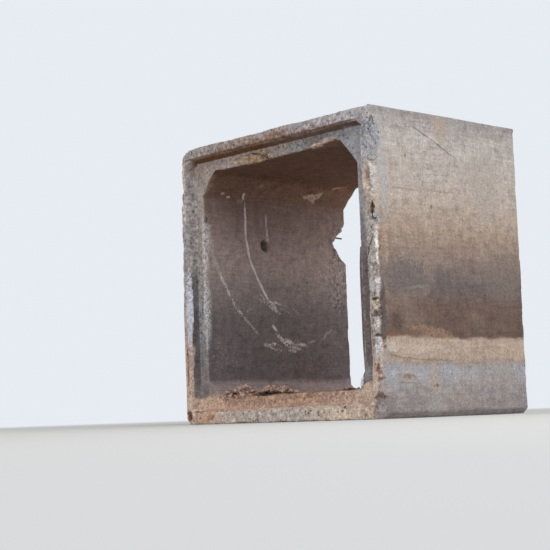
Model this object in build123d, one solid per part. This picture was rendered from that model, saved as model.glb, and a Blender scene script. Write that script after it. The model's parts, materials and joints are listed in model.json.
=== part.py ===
"""Precast concrete box culvert unit: one casting, socket at the front, spigot at the back.

Millimetres. X runs across the span, Y along the waterway from the socket face to the spigot end,
and Z up. The origin is under the middle of the unit, at the level that it stands on.
"""

import os

from build123d import *

# Waterway
span = 1000.0
rise = 1050.0
haunch = 100.0

# Shell
wall = 125.0
slab = 125.0
laying_length = 965.0
arris_chamfer = 25.0

# Joint: the socket's rim stands round a shoulder, and the next unit's spigot enters it
socket_depth = 40.0
socket_rim = 55.0
socket_taper = 15.0
joint_gap = 5.0
joint_corner = 30.0

# Lifting recesses, one in each side wall, open to the waterway
recess_radius = 30.0
recess_depth = 80.0
recess_mouth = 5.0
recess_from_socket = 435.0
recess_height = 860.0

# Spall at the spigot end of the left wall, broken out from the waterway side
spall_top = 1020.0
spall_bottom = 785.0
spall_deepest = 895.0
spall_reach = 98.0
spall_lip = 22.0

# Break in the socket's right arris, above its bottom corner
corner_break_height = 130.0
corner_break_across = 48.0
corner_break_back = 62.0

spigot_length = socket_depth - joint_gap
overall_length = laying_length + spigot_length
outer_width = span + 2 * wall
outer_height = rise + 2 * slab
socket_face = -overall_length / 2
spigot_root = socket_face + laying_length
spigot_end = overall_length / 2
mid_height = outer_height / 2
overcut = 10.0


def frame_section(y, inset, corner):
    """The outer rectangle moved in by inset, with its corners cut off, on the cross plane at y."""
    rectangle = Rectangle(outer_width - 2 * inset, outer_height - 2 * inset)
    cut = chamfer(rectangle.vertices(), corner)
    return Plane.XZ.offset(-y) * Pos(0, mid_height) * cut


def barrel():
    """The outer body from the socket face to the spigot's root."""
    return extrude(frame_section(socket_face, 0, arris_chamfer), laying_length, dir=(0, 1, 0))


def tapered_frame(start, start_inset, end, end_inset, corner):
    """A solid between two cross sections, each the outer rectangle moved in by its own inset."""
    return loft([frame_section(start, start_inset, corner), frame_section(end, end_inset, corner)])


def socket_void():
    """The tapered space inside the rim, carried past the face along the same taper."""
    rate = socket_taper / socket_depth
    return tapered_frame(
        socket_face - overcut,
        socket_rim - rate * overcut,
        socket_face + socket_depth,
        socket_rim + socket_taper,
        joint_corner,
    )


def spigot():
    """The lip that enters the next socket, parallel to it and one joint gap inside it."""
    rate = socket_taper / socket_depth
    root_inset = socket_rim + joint_gap
    return tapered_frame(
        spigot_root - overcut,
        root_inset - rate * overcut,
        spigot_end,
        root_inset + rate * spigot_length,
        joint_corner,
    )


def waterway():
    """The bore: a rectangle with 45 degree haunches, right through the unit."""
    opening = chamfer(Rectangle(span, rise).vertices(), haunch)
    section = Plane.XZ.offset(overcut - socket_face) * Pos(0, mid_height) * opening
    return extrude(section, overall_length + 2 * overcut, dir=(0, 1, 0))


def lifting_recess(side):
    """A blind round recess with a bevelled mouth. Side is 1 for the right wall and -1 for the left."""
    mouth = Plane(
        origin=(side * span / 2, socket_face + recess_from_socket, recess_height),
        z_dir=(side, 0, 0),
    )
    hole = extrude(mouth.offset(-overcut) * Circle(recess_radius), recess_depth + overcut)
    bevel = loft([mouth * Circle(recess_radius + recess_mouth), mouth.offset(recess_mouth) * Circle(recess_radius)])
    return hole + bevel


def end_spall():
    """The piece missing from the left wall's spigot end: deep at the waterway, thin at the outside."""
    inner_x = -span / 2 + overcut
    outer_x = -outer_width / 2 - overcut
    inner_plane = Plane(origin=(inner_x, 0, 0), x_dir=(0, 1, 0), z_dir=(1, 0, 0))
    outer_plane = Plane(origin=(outer_x, 0, 0), x_dir=(0, 1, 0), z_dir=(1, 0, 0))
    past_end = spigot_end + overcut
    deep = Polyline(
        (past_end, spall_bottom),
        (spigot_end - 0.45 * spall_reach, spall_bottom + 0.3 * (spall_deepest - spall_bottom)),
        (spigot_end - spall_reach, spall_deepest),
        (spigot_end - 0.4 * spall_reach, spall_deepest + 0.45 * (spall_top - spall_deepest)),
        (past_end, spall_top),
        close=True,
    )
    shallow = Polyline(
        (past_end, spall_bottom + spall_lip),
        (spigot_end - 0.1 * spall_reach, spall_bottom + 2 * spall_lip),
        (spigot_end - 0.25 * spall_reach, spall_deepest),
        (spigot_end - 0.1 * spall_reach, spall_top - 2 * spall_lip),
        (past_end, spall_top - spall_lip),
        close=True,
    )
    return loft([inner_plane * make_face(deep), outer_plane * make_face(shallow)], ruled=True)


def corner_break():
    """The chip off the socket's right arris, from the floor up, tapering out at its top."""
    right = outer_width / 2
    section = Polyline(
        (right - corner_break_across, socket_face - overcut),
        (right + overcut, socket_face - overcut),
        (right + overcut, socket_face + corner_break_back),
        close=True,
    )
    base = Plane.XY.offset(-overcut) * make_face(section)
    tip = Polyline(
        (right - 0.3 * corner_break_across, socket_face - overcut),
        (right + overcut, socket_face - overcut),
        (right + overcut, socket_face + 0.3 * corner_break_back),
        close=True,
    )
    top = Plane.XY.offset(corner_break_height) * make_face(tip)
    return loft([base, top], ruled=True)


def culvert():
    """The finished casting."""
    body = barrel() + spigot()
    body -= socket_void()
    body -= waterway()
    for side in (-1, 1):
        body -= lifting_recess(side)
    body -= end_spall()
    body -= corner_break()
    return body


os.makedirs("parts", exist_ok=True)
export_step(culvert(), "parts/box_culvert_unit.step")
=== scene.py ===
"""A weathered precast concrete box culvert unit, laid out as a Blender add-on and run as a script.

Metres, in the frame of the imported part. X runs across the span, Y along the waterway from the socket
face to the spigot end, and Z up. The unit stands on Z = 0.
"""

import json
import math

import bmesh
import bpy
import numpy as np
from bpy.props import FloatProperty, FloatVectorProperty, IntProperty, PointerProperty
from mathutils import Matrix, Quaternion, Vector, noise


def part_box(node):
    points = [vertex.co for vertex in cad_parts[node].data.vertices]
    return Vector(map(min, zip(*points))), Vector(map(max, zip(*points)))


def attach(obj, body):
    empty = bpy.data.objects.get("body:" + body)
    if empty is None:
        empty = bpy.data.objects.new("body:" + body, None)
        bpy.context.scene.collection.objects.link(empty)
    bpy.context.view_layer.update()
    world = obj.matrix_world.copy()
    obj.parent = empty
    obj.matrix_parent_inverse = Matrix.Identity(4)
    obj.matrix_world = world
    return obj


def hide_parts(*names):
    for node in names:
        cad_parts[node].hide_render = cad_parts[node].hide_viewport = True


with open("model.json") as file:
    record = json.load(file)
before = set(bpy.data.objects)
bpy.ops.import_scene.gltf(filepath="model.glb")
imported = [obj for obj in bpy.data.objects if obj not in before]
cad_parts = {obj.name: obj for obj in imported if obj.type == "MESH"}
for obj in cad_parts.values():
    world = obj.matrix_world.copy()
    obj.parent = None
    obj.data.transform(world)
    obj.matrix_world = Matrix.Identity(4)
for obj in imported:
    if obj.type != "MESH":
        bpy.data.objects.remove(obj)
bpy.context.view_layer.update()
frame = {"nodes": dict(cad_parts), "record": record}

bl_info = {
    "name": "Weathered box culvert",
    "version": (1, 0, 0),
    "blender": (4, 5, 0),
    "location": "3D View > Sidebar > Culvert",
    "description": "Wears, stains and soils a precast concrete box culvert unit",
    "category": "Object",
}

NODE = "box_culvert_unit"

# Places of the casting, from the frame
MOUNTS = {mount["name"]: Vector(mount["pos_m"]) for mount in frame["record"]["mounts"]}
LOW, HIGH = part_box(NODE)
HALF_WIDTH = HIGH.x
TOP = HIGH.z
MID_HEIGHT = TOP / 2
SOCKET_FACE = MOUNTS["socket_rim"].y
SHOULDER = MOUNTS["socket_shoulder"].y
SPIGOT_ROOT = MOUNTS["spigot_shoulder"].y
SPIGOT_END = MOUNTS["spigot_end"].y

# Sizes of the casting's section
WALL = 0.125
HAUNCH = 0.1
ARRIS = 0.025
RIM = 0.055
JOINT_CORNER = 0.03
SPIGOT_INSET = 0.073
BORE_HALF = HALF_WIDTH - WALL
WALL_X = -BORE_HALF
SIDE_X = HALF_WIDTH

# Outlines of the section: half width, half height and cut corner
OUTER = (HALF_WIDTH, MID_HEIGHT, ARRIS)
BORE = (BORE_HALF, MID_HEIGHT - WALL, HAUNCH)
RIM_INSIDE = (HALF_WIDTH - RIM, MID_HEIGHT - RIM, JOINT_CORNER)
SPIGOT = (HALF_WIDTH - SPIGOT_INSET, MID_HEIGHT - SPIGOT_INSET, JOINT_CORNER)

# How far the socket's outer edge is broken back: (height, size) up a side, (x, size) along the top
LEFT_BREAK = (
    (0.0, 0.004), (0.5, 0.004), (0.6, 0.012), (0.68, 0.016), (0.86, 0.017), (1.05, 0.024), (1.2, 0.031),
    (1.28, 0.032),
)
RIGHT_BREAK_BACK = (
    (0.0, 0.008), (0.3, 0.009), (0.5, 0.018), (0.7, 0.017), (0.9, 0.022), (1.06, 0.036), (1.21, 0.040),
    (1.28, 0.010),
)
RIGHT_BREAK_ACROSS = (
    (0.0, 0.007), (0.3, 0.010), (0.5, 0.014), (0.7, 0.012), (0.9, 0.014), (1.06, 0.024), (1.21, 0.030),
    (1.28, 0.008),
)
TOP_BREAK = (
    (-0.6, 0.011), (-0.52, 0.008), (-0.47, 0.003), (-0.34, 0.002), (-0.24, 0.006), (-0.03, 0.008),
    (0.04, 0.003), (0.17, 0.002), (0.23, 0.007), (0.34, 0.007), (0.40, 0.002), (0.6, 0.002),
)

# How far the waterway's near edge is broken back, by x: across the shoulder, then inwards, above mid height
ARCH_BREAK_ACROSS = (
    (-0.5, 0.006), (-0.44, 0.012), (-0.38, 0.007), (-0.27, 0.006), (-0.2, 0.005), (-0.115, 0.004),
    (-0.09, 0.014), (-0.03, 0.012), (0.2, 0.006), (0.25, 0.012), (0.37, 0.021), (0.42, 0.014), (0.46, 0.012),
    (0.495, 0.003),
)
ARCH_BREAK_BACK = (
    (-0.5, 0.008), (-0.2, 0.012), (0.2, 0.010), (0.27, 0.05), (0.38, 0.07), (0.46, 0.03), (0.495, 0.004),
)

# How much the lower haunches are trimmed, by y, and how far into the concrete the trim is felt
LOW_TRIM = ((SOCKET_FACE, 0.0105), (SPIGOT_END, 0.0245))
LOW_TRIM_REACH = 0.05

# The lower right haunch's near end, broken back to an upright face at this x, and how far in. Its zone
# is the least x, the lowest and highest z, and the depth in the concrete
LOW_CORNER_X = 0.468
LOW_CORNER_DEPTH = 0.075
LOW_CORNER_ZONE = (0.3, WALL + 0.002, 0.25, 0.06)

# How far the chamfer along the right of the top is filled, by y: the edge there is almost sharp
TOP_ARRIS_FILL = ((-0.5, 0.012), (-0.3, 0.012), (-0.15, 0.0165), (0.5, 0.0165))

# Dents: centre, reach along x, y and z, the way they go in, and depth
FRONT = (0.0, 1.0, 0.0)
LEFTWARDS = (-1.0, 0.0, 0.0)
BACK_AND_LEFT = (-0.6, 0.8, 0.0)
INTO_LEFT_HAUNCH = (-0.7, 0.0, 0.7)
DOWNWARDS = (0.0, 0.0, -1.0)
DENTS = (
    # The flake off the shoulder over the waterway, its deep end and the scar beside it
    ((-0.158, SHOULDER, 1.199), (0.122, 0.03, 0.024), FRONT, 0.009),
    ((-0.075, SHOULDER, 1.190), (0.034, 0.03, 0.016), FRONT, 0.015),
    ((0.225, SHOULDER, 1.205), (0.085, 0.03, 0.013), FRONT, 0.006),
    ((-0.513, SHOULDER, 0.442), (0.015, 0.03, 0.045), FRONT, 0.004),
    # The right side of the rim, from the top down
    ((0.587, SOCKET_FACE, 1.001), (0.021, 0.03, 0.060), FRONT, 0.008),
    ((0.588, SOCKET_FACE, 0.990), (0.009, 0.03, 0.020), FRONT, 0.007),
    ((0.6085, SOCKET_FACE, 0.862), (0.006, 0.03, 0.036), FRONT, 0.014),
    ((0.614, SOCKET_FACE, 0.815), (0.014, 0.03, 0.013), FRONT, 0.010),
    ((0.602, SOCKET_FACE, 0.490), (0.020, 0.03, 0.006), FRONT, 0.007),
    ((0.606, SOCKET_FACE, 0.430), (0.016, 0.03, 0.012), FRONT, 0.009),
    ((0.606, SOCKET_FACE, 0.343), (0.020, 0.03, 0.006), FRONT, 0.009),
    ((0.618, -0.488, 0.40), (0.012, 0.02, 0.09), LEFTWARDS, 0.005),
    ((0.605, -0.490, 0.090), (0.026, 0.03, 0.010), BACK_AND_LEFT, 0.010),
    # The bottom and the left side of the rim
    ((0.393, SOCKET_FACE, 0.050), (0.013, 0.03, 0.016), FRONT, 0.012),
    ((-0.604, SOCKET_FACE, 0.270), (0.005, 0.03, 0.095), FRONT, 0.008),
    ((-0.602, SOCKET_FACE, 0.042), (0.020, 0.04, 0.024), FRONT, 0.016),
    # Small spalls inside, on the left wall's haunch and by the left wall's near edge
    ((-0.483, -0.197, 1.092), (0.016, 0.018, 0.018), INTO_LEFT_HAUNCH, 0.004),
    ((-0.442, 0.290, 1.133), (0.03, 0.075, 0.024), INTO_LEFT_HAUNCH, 0.004),
    ((-0.5, -0.452, 0.945), (0.03, 0.018, 0.014), LEFTWARDS, 0.006),
    ((-0.5, -0.450, 0.900), (0.03, 0.014, 0.012), LEFTWARDS, 0.007),
    # Small hollows in the right side
    ((HALF_WIDTH, -0.138, 0.893), (0.03, 0.006, 0.006), LEFTWARDS, 0.004),
    ((HALF_WIDTH, -0.030, 1.013), (0.03, 0.009, 0.008), LEFTWARDS, 0.003),
    ((HALF_WIDTH, -0.294, 1.101), (0.03, 0.006, 0.007), LEFTWARDS, 0.003),
    ((HALF_WIDTH, -0.301, 1.270), (0.03, 0.007, 0.007), LEFTWARDS, 0.005),
)

# Places where the form itself is a little out: centre, reach, way and distance
SHIFTS = (
    ((0.5, SHOULDER, 0.45), (0.03, 0.05, 0.40), LEFTWARDS, 0.014),
    ((0.572, SOCKET_FACE, 1.08), (0.024, 0.05, 0.20), LEFTWARDS, 0.012),
    ((0.620, SOCKET_FACE, 1.30), (0.04, 0.04, 0.03), DOWNWARDS, 0.004),
    ((-0.430, SHOULDER, 1.145), (0.085, 0.12, 0.085), INTO_LEFT_HAUNCH, 0.013),
)

# Rough places: centre, reach, height of the roughness and size of its bumps
ROUGH_PLACES = (
    ((0.602, SOCKET_FACE, 1.178), (0.045, 0.06, 0.08), 0.0055, 0.014),
    ((0.600, SOCKET_FACE, 0.60), (0.035, 0.04, 0.42), 0.0028, 0.016),
    ((-0.575, -0.48, 0.90), (0.055, 0.035, 0.40), 0.0028, 0.014),
    ((-0.54, -0.46, 0.60), (0.04, 0.03, 0.30), 0.0026, 0.013),
    ((0.0, SOCKET_FACE, 1.28), (0.64, 0.04, 0.045), 0.0027, 0.015),
    ((0.0, SHOULDER, 1.20), (0.50, 0.03, 0.035), 0.0024, 0.018),
    ((0.0, SOCKET_FACE, 0.05), (0.66, 0.04, 0.07), 0.0032, 0.022),
    ((0.0, -0.48, 0.105), (0.62, 0.05, 0.03), 0.0030, 0.016),
    ((-0.56, 0.46, 0.90), (0.09, 0.11, 0.15), 0.0060, 0.020),
    ((-0.50, 0.44, 0.70), (0.03, 0.10, 0.17), 0.0016, 0.012),
)


def noise_field(points, size, seed):
    """Smooth noise from -1 to 1 at each point, with bumps about size metres apart."""
    cells = 32
    table = np.random.RandomState(seed).uniform(-1.0, 1.0, (cells, cells, cells))
    scaled = points / size + seed
    low = np.floor(scaled).astype(int)
    part = scaled - low
    part = part * part * (3.0 - 2.0 * part)
    total = np.zeros(len(points))
    for corner in np.ndindex(2, 2, 2):
        index = (low + corner) % cells
        share = np.prod(np.where(corner, part, 1.0 - part), axis=1)
        total += share * table[index[:, 0], index[:, 1], index[:, 2]]
    return total


def rough_field(points, size, seed, octaves=3):
    """Layers of noise, each half as large and half as strong as the last."""
    return sum(noise_field(points, size / 2**k, seed + k) / 2**k for k in range(octaves))


def eased(values):
    """Values held between 0 and 1 and eased at both ends."""
    held = np.clip(values, 0.0, 1.0)
    return held * held * (3.0 - 2.0 * held)


def along(values, places):
    """Values read off a line through (value, result) pairs."""
    return np.interp(values, *zip(*places))


def outline_distance(points, outline):
    """How far points lie outside a rectangle with cut corners, and the direction straight out of it."""
    half_width, half_height, corner = outline
    x = points[:, 0]
    z = points[:, 2] - MID_HEIGHT
    diagonal = (np.abs(x) + np.abs(z) - (half_width + half_height - corner)) / math.sqrt(2)
    sides = np.stack([np.abs(x) - half_width, np.abs(z) - half_height, diagonal])
    nearest = sides.argmax(axis=0)
    slopes = np.array([[1.0, 0.0], [0.0, 1.0], [math.sqrt(0.5), math.sqrt(0.5)]])[nearest]
    direction = np.stack([np.sign(x) * slopes[:, 0], 0 * x, np.sign(z) * slopes[:, 1]], axis=1)
    return sides.max(axis=0), direction


def ragged(size, points, seed, spread):
    """A break's size made uneven along its edge."""
    wave, everywhere, least = 0.06, 0.002, 0.0015
    uneven = rough_field(points, wave, seed, 4)
    return np.maximum(size * (1 + spread * uneven) + everywhere * uneven, least)


def ragged_pair(across, back, points, seed, spread):
    """A break's sizes across the end face and back from it, both made uneven."""
    return ragged(across, points, seed, spread), ragged(back, points, seed + 6, spread)


def socket_edge_sizes(points):
    """The break along the socket's outer edge: across the rim, then back along the barrel."""
    edge_zone, elsewhere = 0.07, 0.006
    x, z = points[:, 0], points[:, 2]
    left, top = along(z, LEFT_BREAK), along(x, TOP_BREAK)
    by_side, by_top = np.abs(x) > HALF_WIDTH - edge_zone, z > TOP - edge_zone
    sizes = []
    for right_break in (RIGHT_BREAK_ACROSS, RIGHT_BREAK_BACK):
        side = np.where(x > 0, along(z, right_break), left)
        at_top = np.maximum(top, np.where(by_side, side, 0.0))
        sizes.append(np.where(by_top, at_top, np.where(by_side, side, elsewhere)))
    return ragged_pair(*sizes, points, 11, 0.5)


def mouth_edge_sizes(points):
    """The break along the waterway's near edge, largest at the right of the top."""
    x, z = points[:, 0], points[:, 2]
    low_across, low_back = 0.004, 0.005
    across = np.where(z > MID_HEIGHT, along(x, ARCH_BREAK_ACROSS), low_across)
    back = np.where(z > MID_HEIGHT, along(x, ARCH_BREAK_BACK), low_back)
    return ragged_pair(across, back, points, 37, 0.3)


def even_edge_sizes(width, seed, spread):
    """A function for the sizes of a break that is about the same all along its edge."""

    def sizes(points):
        widths = np.full(len(points), width)
        return ragged_pair(widths, widths, points, seed, spread)

    return sizes


# Edges that are broken: the end face's y, the way into the concrete from it, the outline, 1 where the
# concrete is outside the outline or -1 where it is inside, and the break's sizes
FAR_EDGE_SIZES = even_edge_sizes(0.006, 41, 0.9)
EDGES = (
    (SOCKET_FACE, 1, OUTER, -1, socket_edge_sizes),
    (SOCKET_FACE, 1, RIM_INSIDE, 1, even_edge_sizes(0.005, 23, 1.0)),
    (SHOULDER, 1, BORE, 1, mouth_edge_sizes),
    (SPIGOT_ROOT, -1, OUTER, -1, FAR_EDGE_SIZES),
    (SPIGOT_END, -1, SPIGOT, -1, FAR_EDGE_SIZES),
    (SPIGOT_END, -1, BORE, 1, FAR_EDGE_SIZES),
)

# How coarse the surface is on the foot of the rim, the rest of the rim, the socket's other faces, the
# waterway and elsewhere, and how high and how wide that smoother foot is
COARSENESS = (0.25, 1.0, 0.8, 0.5)
SIDE_COARSENESS = 0.35
SMOOTH_FOOT_HEIGHT, SMOOTH_FOOT_HALF = 0.12, 0.5

# First seeds of the noise for the edges, the dents and the rough places
EDGE_SEED, DENT_SEED, ROUGH_SEED = 50, 100, 200

# A vertex this near a face counts as on it, and one whose way out slants more than this is on a cut corner
ON_FACE = 0.004
SLANTED = 0.1


class Skin:
    """The casting's vertices while they are worn: where they are, and how broken and pitted each is."""

    def __init__(self, points, facing):
        self.points = points
        self.facing = facing
        self.broken = np.zeros(len(points))
        self.pitted = np.zeros(len(points))

    def within(self, centre, reach, limit):
        """The vertices in an oval, and how far out each is, 1 at its reach. The limit is how far it goes."""
        span = np.linalg.norm((self.points - centre) / reach, axis=1)
        near = np.flatnonzero(span < limit)
        return near, span[near]

    def trim_low_haunches(self):
        """Makes the lower haunches smaller than the upper ones, and smaller still towards the far end."""
        points = self.points
        distance, direction = outline_distance(points, BORE)
        slanted = np.abs(direction[:, 0] * direction[:, 2]) > SLANTED
        chosen = slanted & (points[:, 2] < MID_HEIGHT) & (distance > -ON_FACE)
        share = np.clip(1 - distance / LOW_TRIM_REACH, 0, 1)
        cut = along(points[:, 1], LOW_TRIM) * math.sqrt(2)
        moved = points + direction * (share * cut)[:, None]
        bore = distance < ON_FACE
        moved[bore, 0] = np.clip(moved[bore, 0], -BORE_HALF, BORE_HALF)
        moved[bore, 2] = np.maximum(moved[bore, 2], WALL)
        self.points = np.where(chosen[:, None], moved, points)

    def fill_top_arris(self):
        """Fills most of the chamfer along the right of the top."""
        points = self.points
        distance, direction = outline_distance(points, OUTER)
        slanted = direction[:, 0] * direction[:, 2] > SLANTED
        chosen = slanted & (points[:, 2] > MID_HEIGHT) & (points[:, 0] > 0) & (distance > -ON_FACE)
        self.points[chosen] += direction[chosen] * along(points[chosen, 1], TOP_ARRIS_FILL)[:, None]

    def break_low_corner(self):
        """Breaks the near end of the lower right haunch back to an upright face."""
        points = self.points
        behind = points[:, 1] - SHOULDER
        distance, _ = outline_distance(points, BORE)
        leftmost, lowest, highest, deepest = LOW_CORNER_ZONE
        x, z = points[:, 0], points[:, 2]
        chosen = (behind > -ON_FACE) & (z > lowest) & (z < highest) & (x > leftmost) & (distance < deepest)
        share = np.clip(1 - behind / LOW_CORNER_DEPTH, 0, 1) * chosen
        unevenness, bump_size, seed, fully_broken = 0.003, 0.02, 71, 0.006
        edge = LOW_CORNER_X + unevenness * rough_field(points, bump_size, seed)
        push = np.clip(edge - x, 0, None) * share
        self.points[:, 0] += push
        self.broken = np.maximum(self.broken, np.clip(push / fully_broken, 0, 1))

    def break_edge(self, face, inwards, outline, side, sizes, seed):
        """Slopes off the edge where an end face meets an outline."""
        loose, widest = 0.006, 0.1
        behind = (self.points[:, 1] - face) * inwards
        distance, direction = outline_distance(self.points, outline)
        depth = side * distance
        near = np.flatnonzero((behind > -loose) & (depth > -loose) & (behind < widest) & (depth < widest))
        points, behind, depth = self.points[near], behind[near], depth[near]
        across, back = sizes(points)
        steepness = np.hypot(1 / back, 1 / across)
        lack = np.maximum((1 - behind / back - depth / across) / steepness, 0.0)
        roughness, bump_size, fully_rough, fully_broken = 0.0026, 0.018, 0.004, 0.0025
        rough = roughness * rough_field(points, bump_size, seed) * np.clip(lack / fully_rough, 0, 1)
        move = (lack + rough)[:, None]
        towards = direction[near] * side / (across * steepness)[:, None]
        towards[:, 1] = inwards / (back * steepness)
        self.points[near] += move * towards
        self.broken[near] = np.maximum(self.broken[near], np.clip(lack / fully_broken, 0, 1))

    def dent(self, centre, reach, inwards, depth, seed):
        """Pushes a ragged oval in the surface inwards, or outwards where depth is negative."""
        limit, raggedness, softness = 1.5, 0.22, 0.4
        unevenness, bump_size = 0.3, 0.02
        near, span = self.within(centre, reach, limit)
        points = self.points[near]
        edge = span * (1 + raggedness * rough_field(points, 1.2 * min(reach[0], reach[2]), seed))
        share = eased((1 - edge) / softness)
        floor = 1 + unevenness * rough_field(points, bump_size, seed + 5, 2)
        self.points[near] += np.outer(share * floor * depth, inwards)
        self.broken[near] = np.maximum(self.broken[near], share)

    def shift(self, centre, reach, way, distance):
        """Moves a smooth oval of the surface, without breaking it."""
        softness = 0.7
        near, span = self.within(centre, reach, 1)
        self.points[near] += np.outer(eased((1 - span) / softness) * distance, way)

    def roughen(self, centre, reach, height, size, seed):
        """Makes a place rougher than the rest."""
        limit, softness = 1.2, 0.5
        near, span = self.within(centre, reach, limit)
        share = eased((limit - span) / softness)
        bumps = rough_field(self.points[near], size, seed)
        self.points[near] += self.facing[near] * (share * bumps * height)[:, None]
        self.pitted[near] = np.maximum(self.pitted[near], share)

    def swell(self):
        """The slight waviness and coarse grain of the whole casting, and the skin that it has lost."""
        wave_height, wave_size, grain_height, grain_size, lost = 0.0010, 0.16, 0.0005, 0.018, 0.0007
        wide = wave_height * rough_field(self.points, wave_size, 61, 2)
        fine = grain_height * rough_field(self.points, grain_size, 67, 2)
        self.points += self.facing * (wide + fine - lost)[:, None]

    def wear(self):
        """All of it, in order."""
        self.trim_low_haunches()
        self.fill_top_arris()
        self.break_low_corner()
        for place in SHIFTS:
            self.shift(*place)
        for seed, edge in enumerate(EDGES, EDGE_SEED):
            self.break_edge(*edge, seed)
        for seed, dent in enumerate(DENTS, DENT_SEED):
            self.dent(*dent, seed)
        for seed, place in enumerate(ROUGH_PLACES, ROUGH_SEED):
            self.roughen(*place, seed)
        self.swell()
        self.points = np.clip(self.points, np.array(LOW), np.array(HIGH))


def ring_zones(points):
    """Which part of the casting each even vertex is on, and how coarse its surface is."""
    close, rim_arris, rebate_width = 0.003, 0.001, 0.02
    distance, _ = outline_distance(points, BORE)
    outside, _ = outline_distance(points, OUTER)
    x, y, z = points.T
    waterway = (distance < ON_FACE) & (y > SHOULDER + ON_FACE / 2)
    rim = (y < SOCKET_FACE + close) & (outside < -rim_arris)
    socket = (y <= SHOULDER + close) & (outside < -rebate_width) & ~rim & ~waterway
    rebate = socket & (y < SHOULDER - close)
    smooth_foot = rim & (z < SMOOTH_FOOT_HEIGHT) & (np.abs(x) < SMOOTH_FOOT_HALF)
    zones = {"waterway": waterway, "rim": rim, "rebate": rebate, "shoulder": socket & ~rebate}
    coarse = np.select((smooth_foot, rim, socket, waterway), COARSENESS, SIDE_COARSENESS)
    return {"coarse": coarse, **{name: zone.astype(float) for name, zone in zones.items()}}



# Colours of the right side by height, from the floor up
SIDE_BANDS = (
    (0.00, (0.30, 0.265, 0.265)), (0.06, (0.32, 0.285, 0.285)), (0.12, (0.35, 0.325, 0.33)),
    (0.19, (0.40, 0.415, 0.475)), (0.228, (0.36, 0.32, 0.31)), (0.238, (0.42, 0.33, 0.27)),
    (0.25, (0.475, 0.375, 0.305)), (0.30, (0.49, 0.39, 0.32)), (0.328, (0.47, 0.37, 0.30)),
    (0.342, (0.138, 0.091, 0.075)), (0.40, (0.145, 0.10, 0.083)), (0.47, (0.165, 0.112, 0.094)),
    (0.56, (0.163, 0.134, 0.130)), (0.65, (0.24, 0.183, 0.163)), (0.72, (0.31, 0.233, 0.195)),
    (0.79, (0.38, 0.292, 0.235)), (0.86, (0.44, 0.355, 0.30)), (0.93, (0.475, 0.40, 0.355)),
    (1.05, (0.48, 0.425, 0.39)), (1.20, (0.475, 0.435, 0.41)), (1.25, (0.39, 0.358, 0.35)),
    (1.30, (0.335, 0.31, 0.305)),
)

# Colours inside the waterway by height: floor, lower haunch, wall, upper haunch and ceiling
WATERWAY_BANDS = (
    (0.12, (0.46, 0.33, 0.26)), (0.145, (0.35, 0.285, 0.29)), (0.19, (0.325, 0.265, 0.27)),
    (0.21, (0.178, 0.15, 0.158)), (0.30, (0.173, 0.145, 0.152)), (0.42, (0.187, 0.160, 0.163)),
    (0.52, (0.204, 0.176, 0.178)), (0.63, (0.302, 0.253, 0.247)), (0.75, (0.40, 0.325, 0.305)),
    (0.86, (0.365, 0.287, 0.271)), (0.95, (0.305, 0.23, 0.212)), (1.06, (0.25, 0.175, 0.155)),
    (1.085, (0.205, 0.127, 0.095)), (1.15, (0.195, 0.115, 0.08)), (1.172, (0.150, 0.080, 0.052)),
)

# Painted light inside the waterway: how much lighter it is painted towards its far end, and a little darker
# at the mouth, by y
WATERWAY_PAINTED_LIGHT = ((-0.5, 0.88), (-0.3, 1.02), (-0.1, 1.15), (0.05, 1.25), (0.2, 1.36), (0.5, 1.47))

# Colours round the socket: up the left side, up the right side, along the top and along the bottom
RIM_COLOURS = (
    ((0.0, (0.59, 0.43, 0.34)), (0.12, (0.66, 0.49, 0.40)), (0.3, (0.62, 0.47, 0.40)),
     (0.55, (0.50, 0.44, 0.42)), (0.8, (0.445, 0.415, 0.43)), (1.2, (0.445, 0.41, 0.415))),
    ((0.0, (0.32, 0.27, 0.26)), (0.08, (0.60, 0.47, 0.39)), (0.16, (0.62, 0.46, 0.37)),
     (0.3, (0.50, 0.44, 0.42)), (0.8, (0.50, 0.45, 0.43)), (0.93, (0.50, 0.43, 0.40)),
     (1.06, (0.54, 0.53, 0.57)), (1.2, (0.51, 0.50, 0.54))),
    ((-0.6, (0.44, 0.385, 0.37)), (-0.3, (0.40, 0.315, 0.285)), (-0.1, (0.39, 0.285, 0.245)),
     (0.1, (0.37, 0.27, 0.24)), (0.3, (0.57, 0.53, 0.575)), (0.6, (0.53, 0.50, 0.54))),
    ((-0.6, (0.74, 0.55, 0.45)), (-0.3, (0.64, 0.54, 0.48)), (0.1, (0.60, 0.54, 0.50)),
     (0.4, (0.76, 0.61, 0.49)), (0.56, (0.70, 0.56, 0.46)), (0.6, (0.46, 0.39, 0.36))),
)
REBATE_COLOURS = (
    ((0.1, (0.33, 0.265, 0.235)), (0.22, (0.15, 0.128, 0.13)), (0.5, (0.115, 0.107, 0.122)),
     (0.66, (0.15, 0.14, 0.148)), (0.76, (0.335, 0.315, 0.32)), (1.2, (0.345, 0.325, 0.33))),
    ((0.1, (0.30, 0.25, 0.23)), (1.2, (0.35, 0.32, 0.31))),
    ((-0.56, (0.34, 0.30, 0.29)), (-0.53, (0.155, 0.073, 0.037)), (-0.1, (0.155, 0.067, 0.031)),
     (0.2, (0.16, 0.10, 0.075)), (0.5, (0.13, 0.095, 0.08)), (0.565, (0.12, 0.08, 0.065))),
    ((-0.6, (0.66, 0.48, 0.39)), (-0.4, (0.55, 0.355, 0.265)), (0.3, (0.565, 0.39, 0.30)),
     (0.41, (0.62, 0.45, 0.36)), (0.47, (0.78, 0.60, 0.49)), (0.6, (0.74, 0.56, 0.46))),
)
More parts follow.
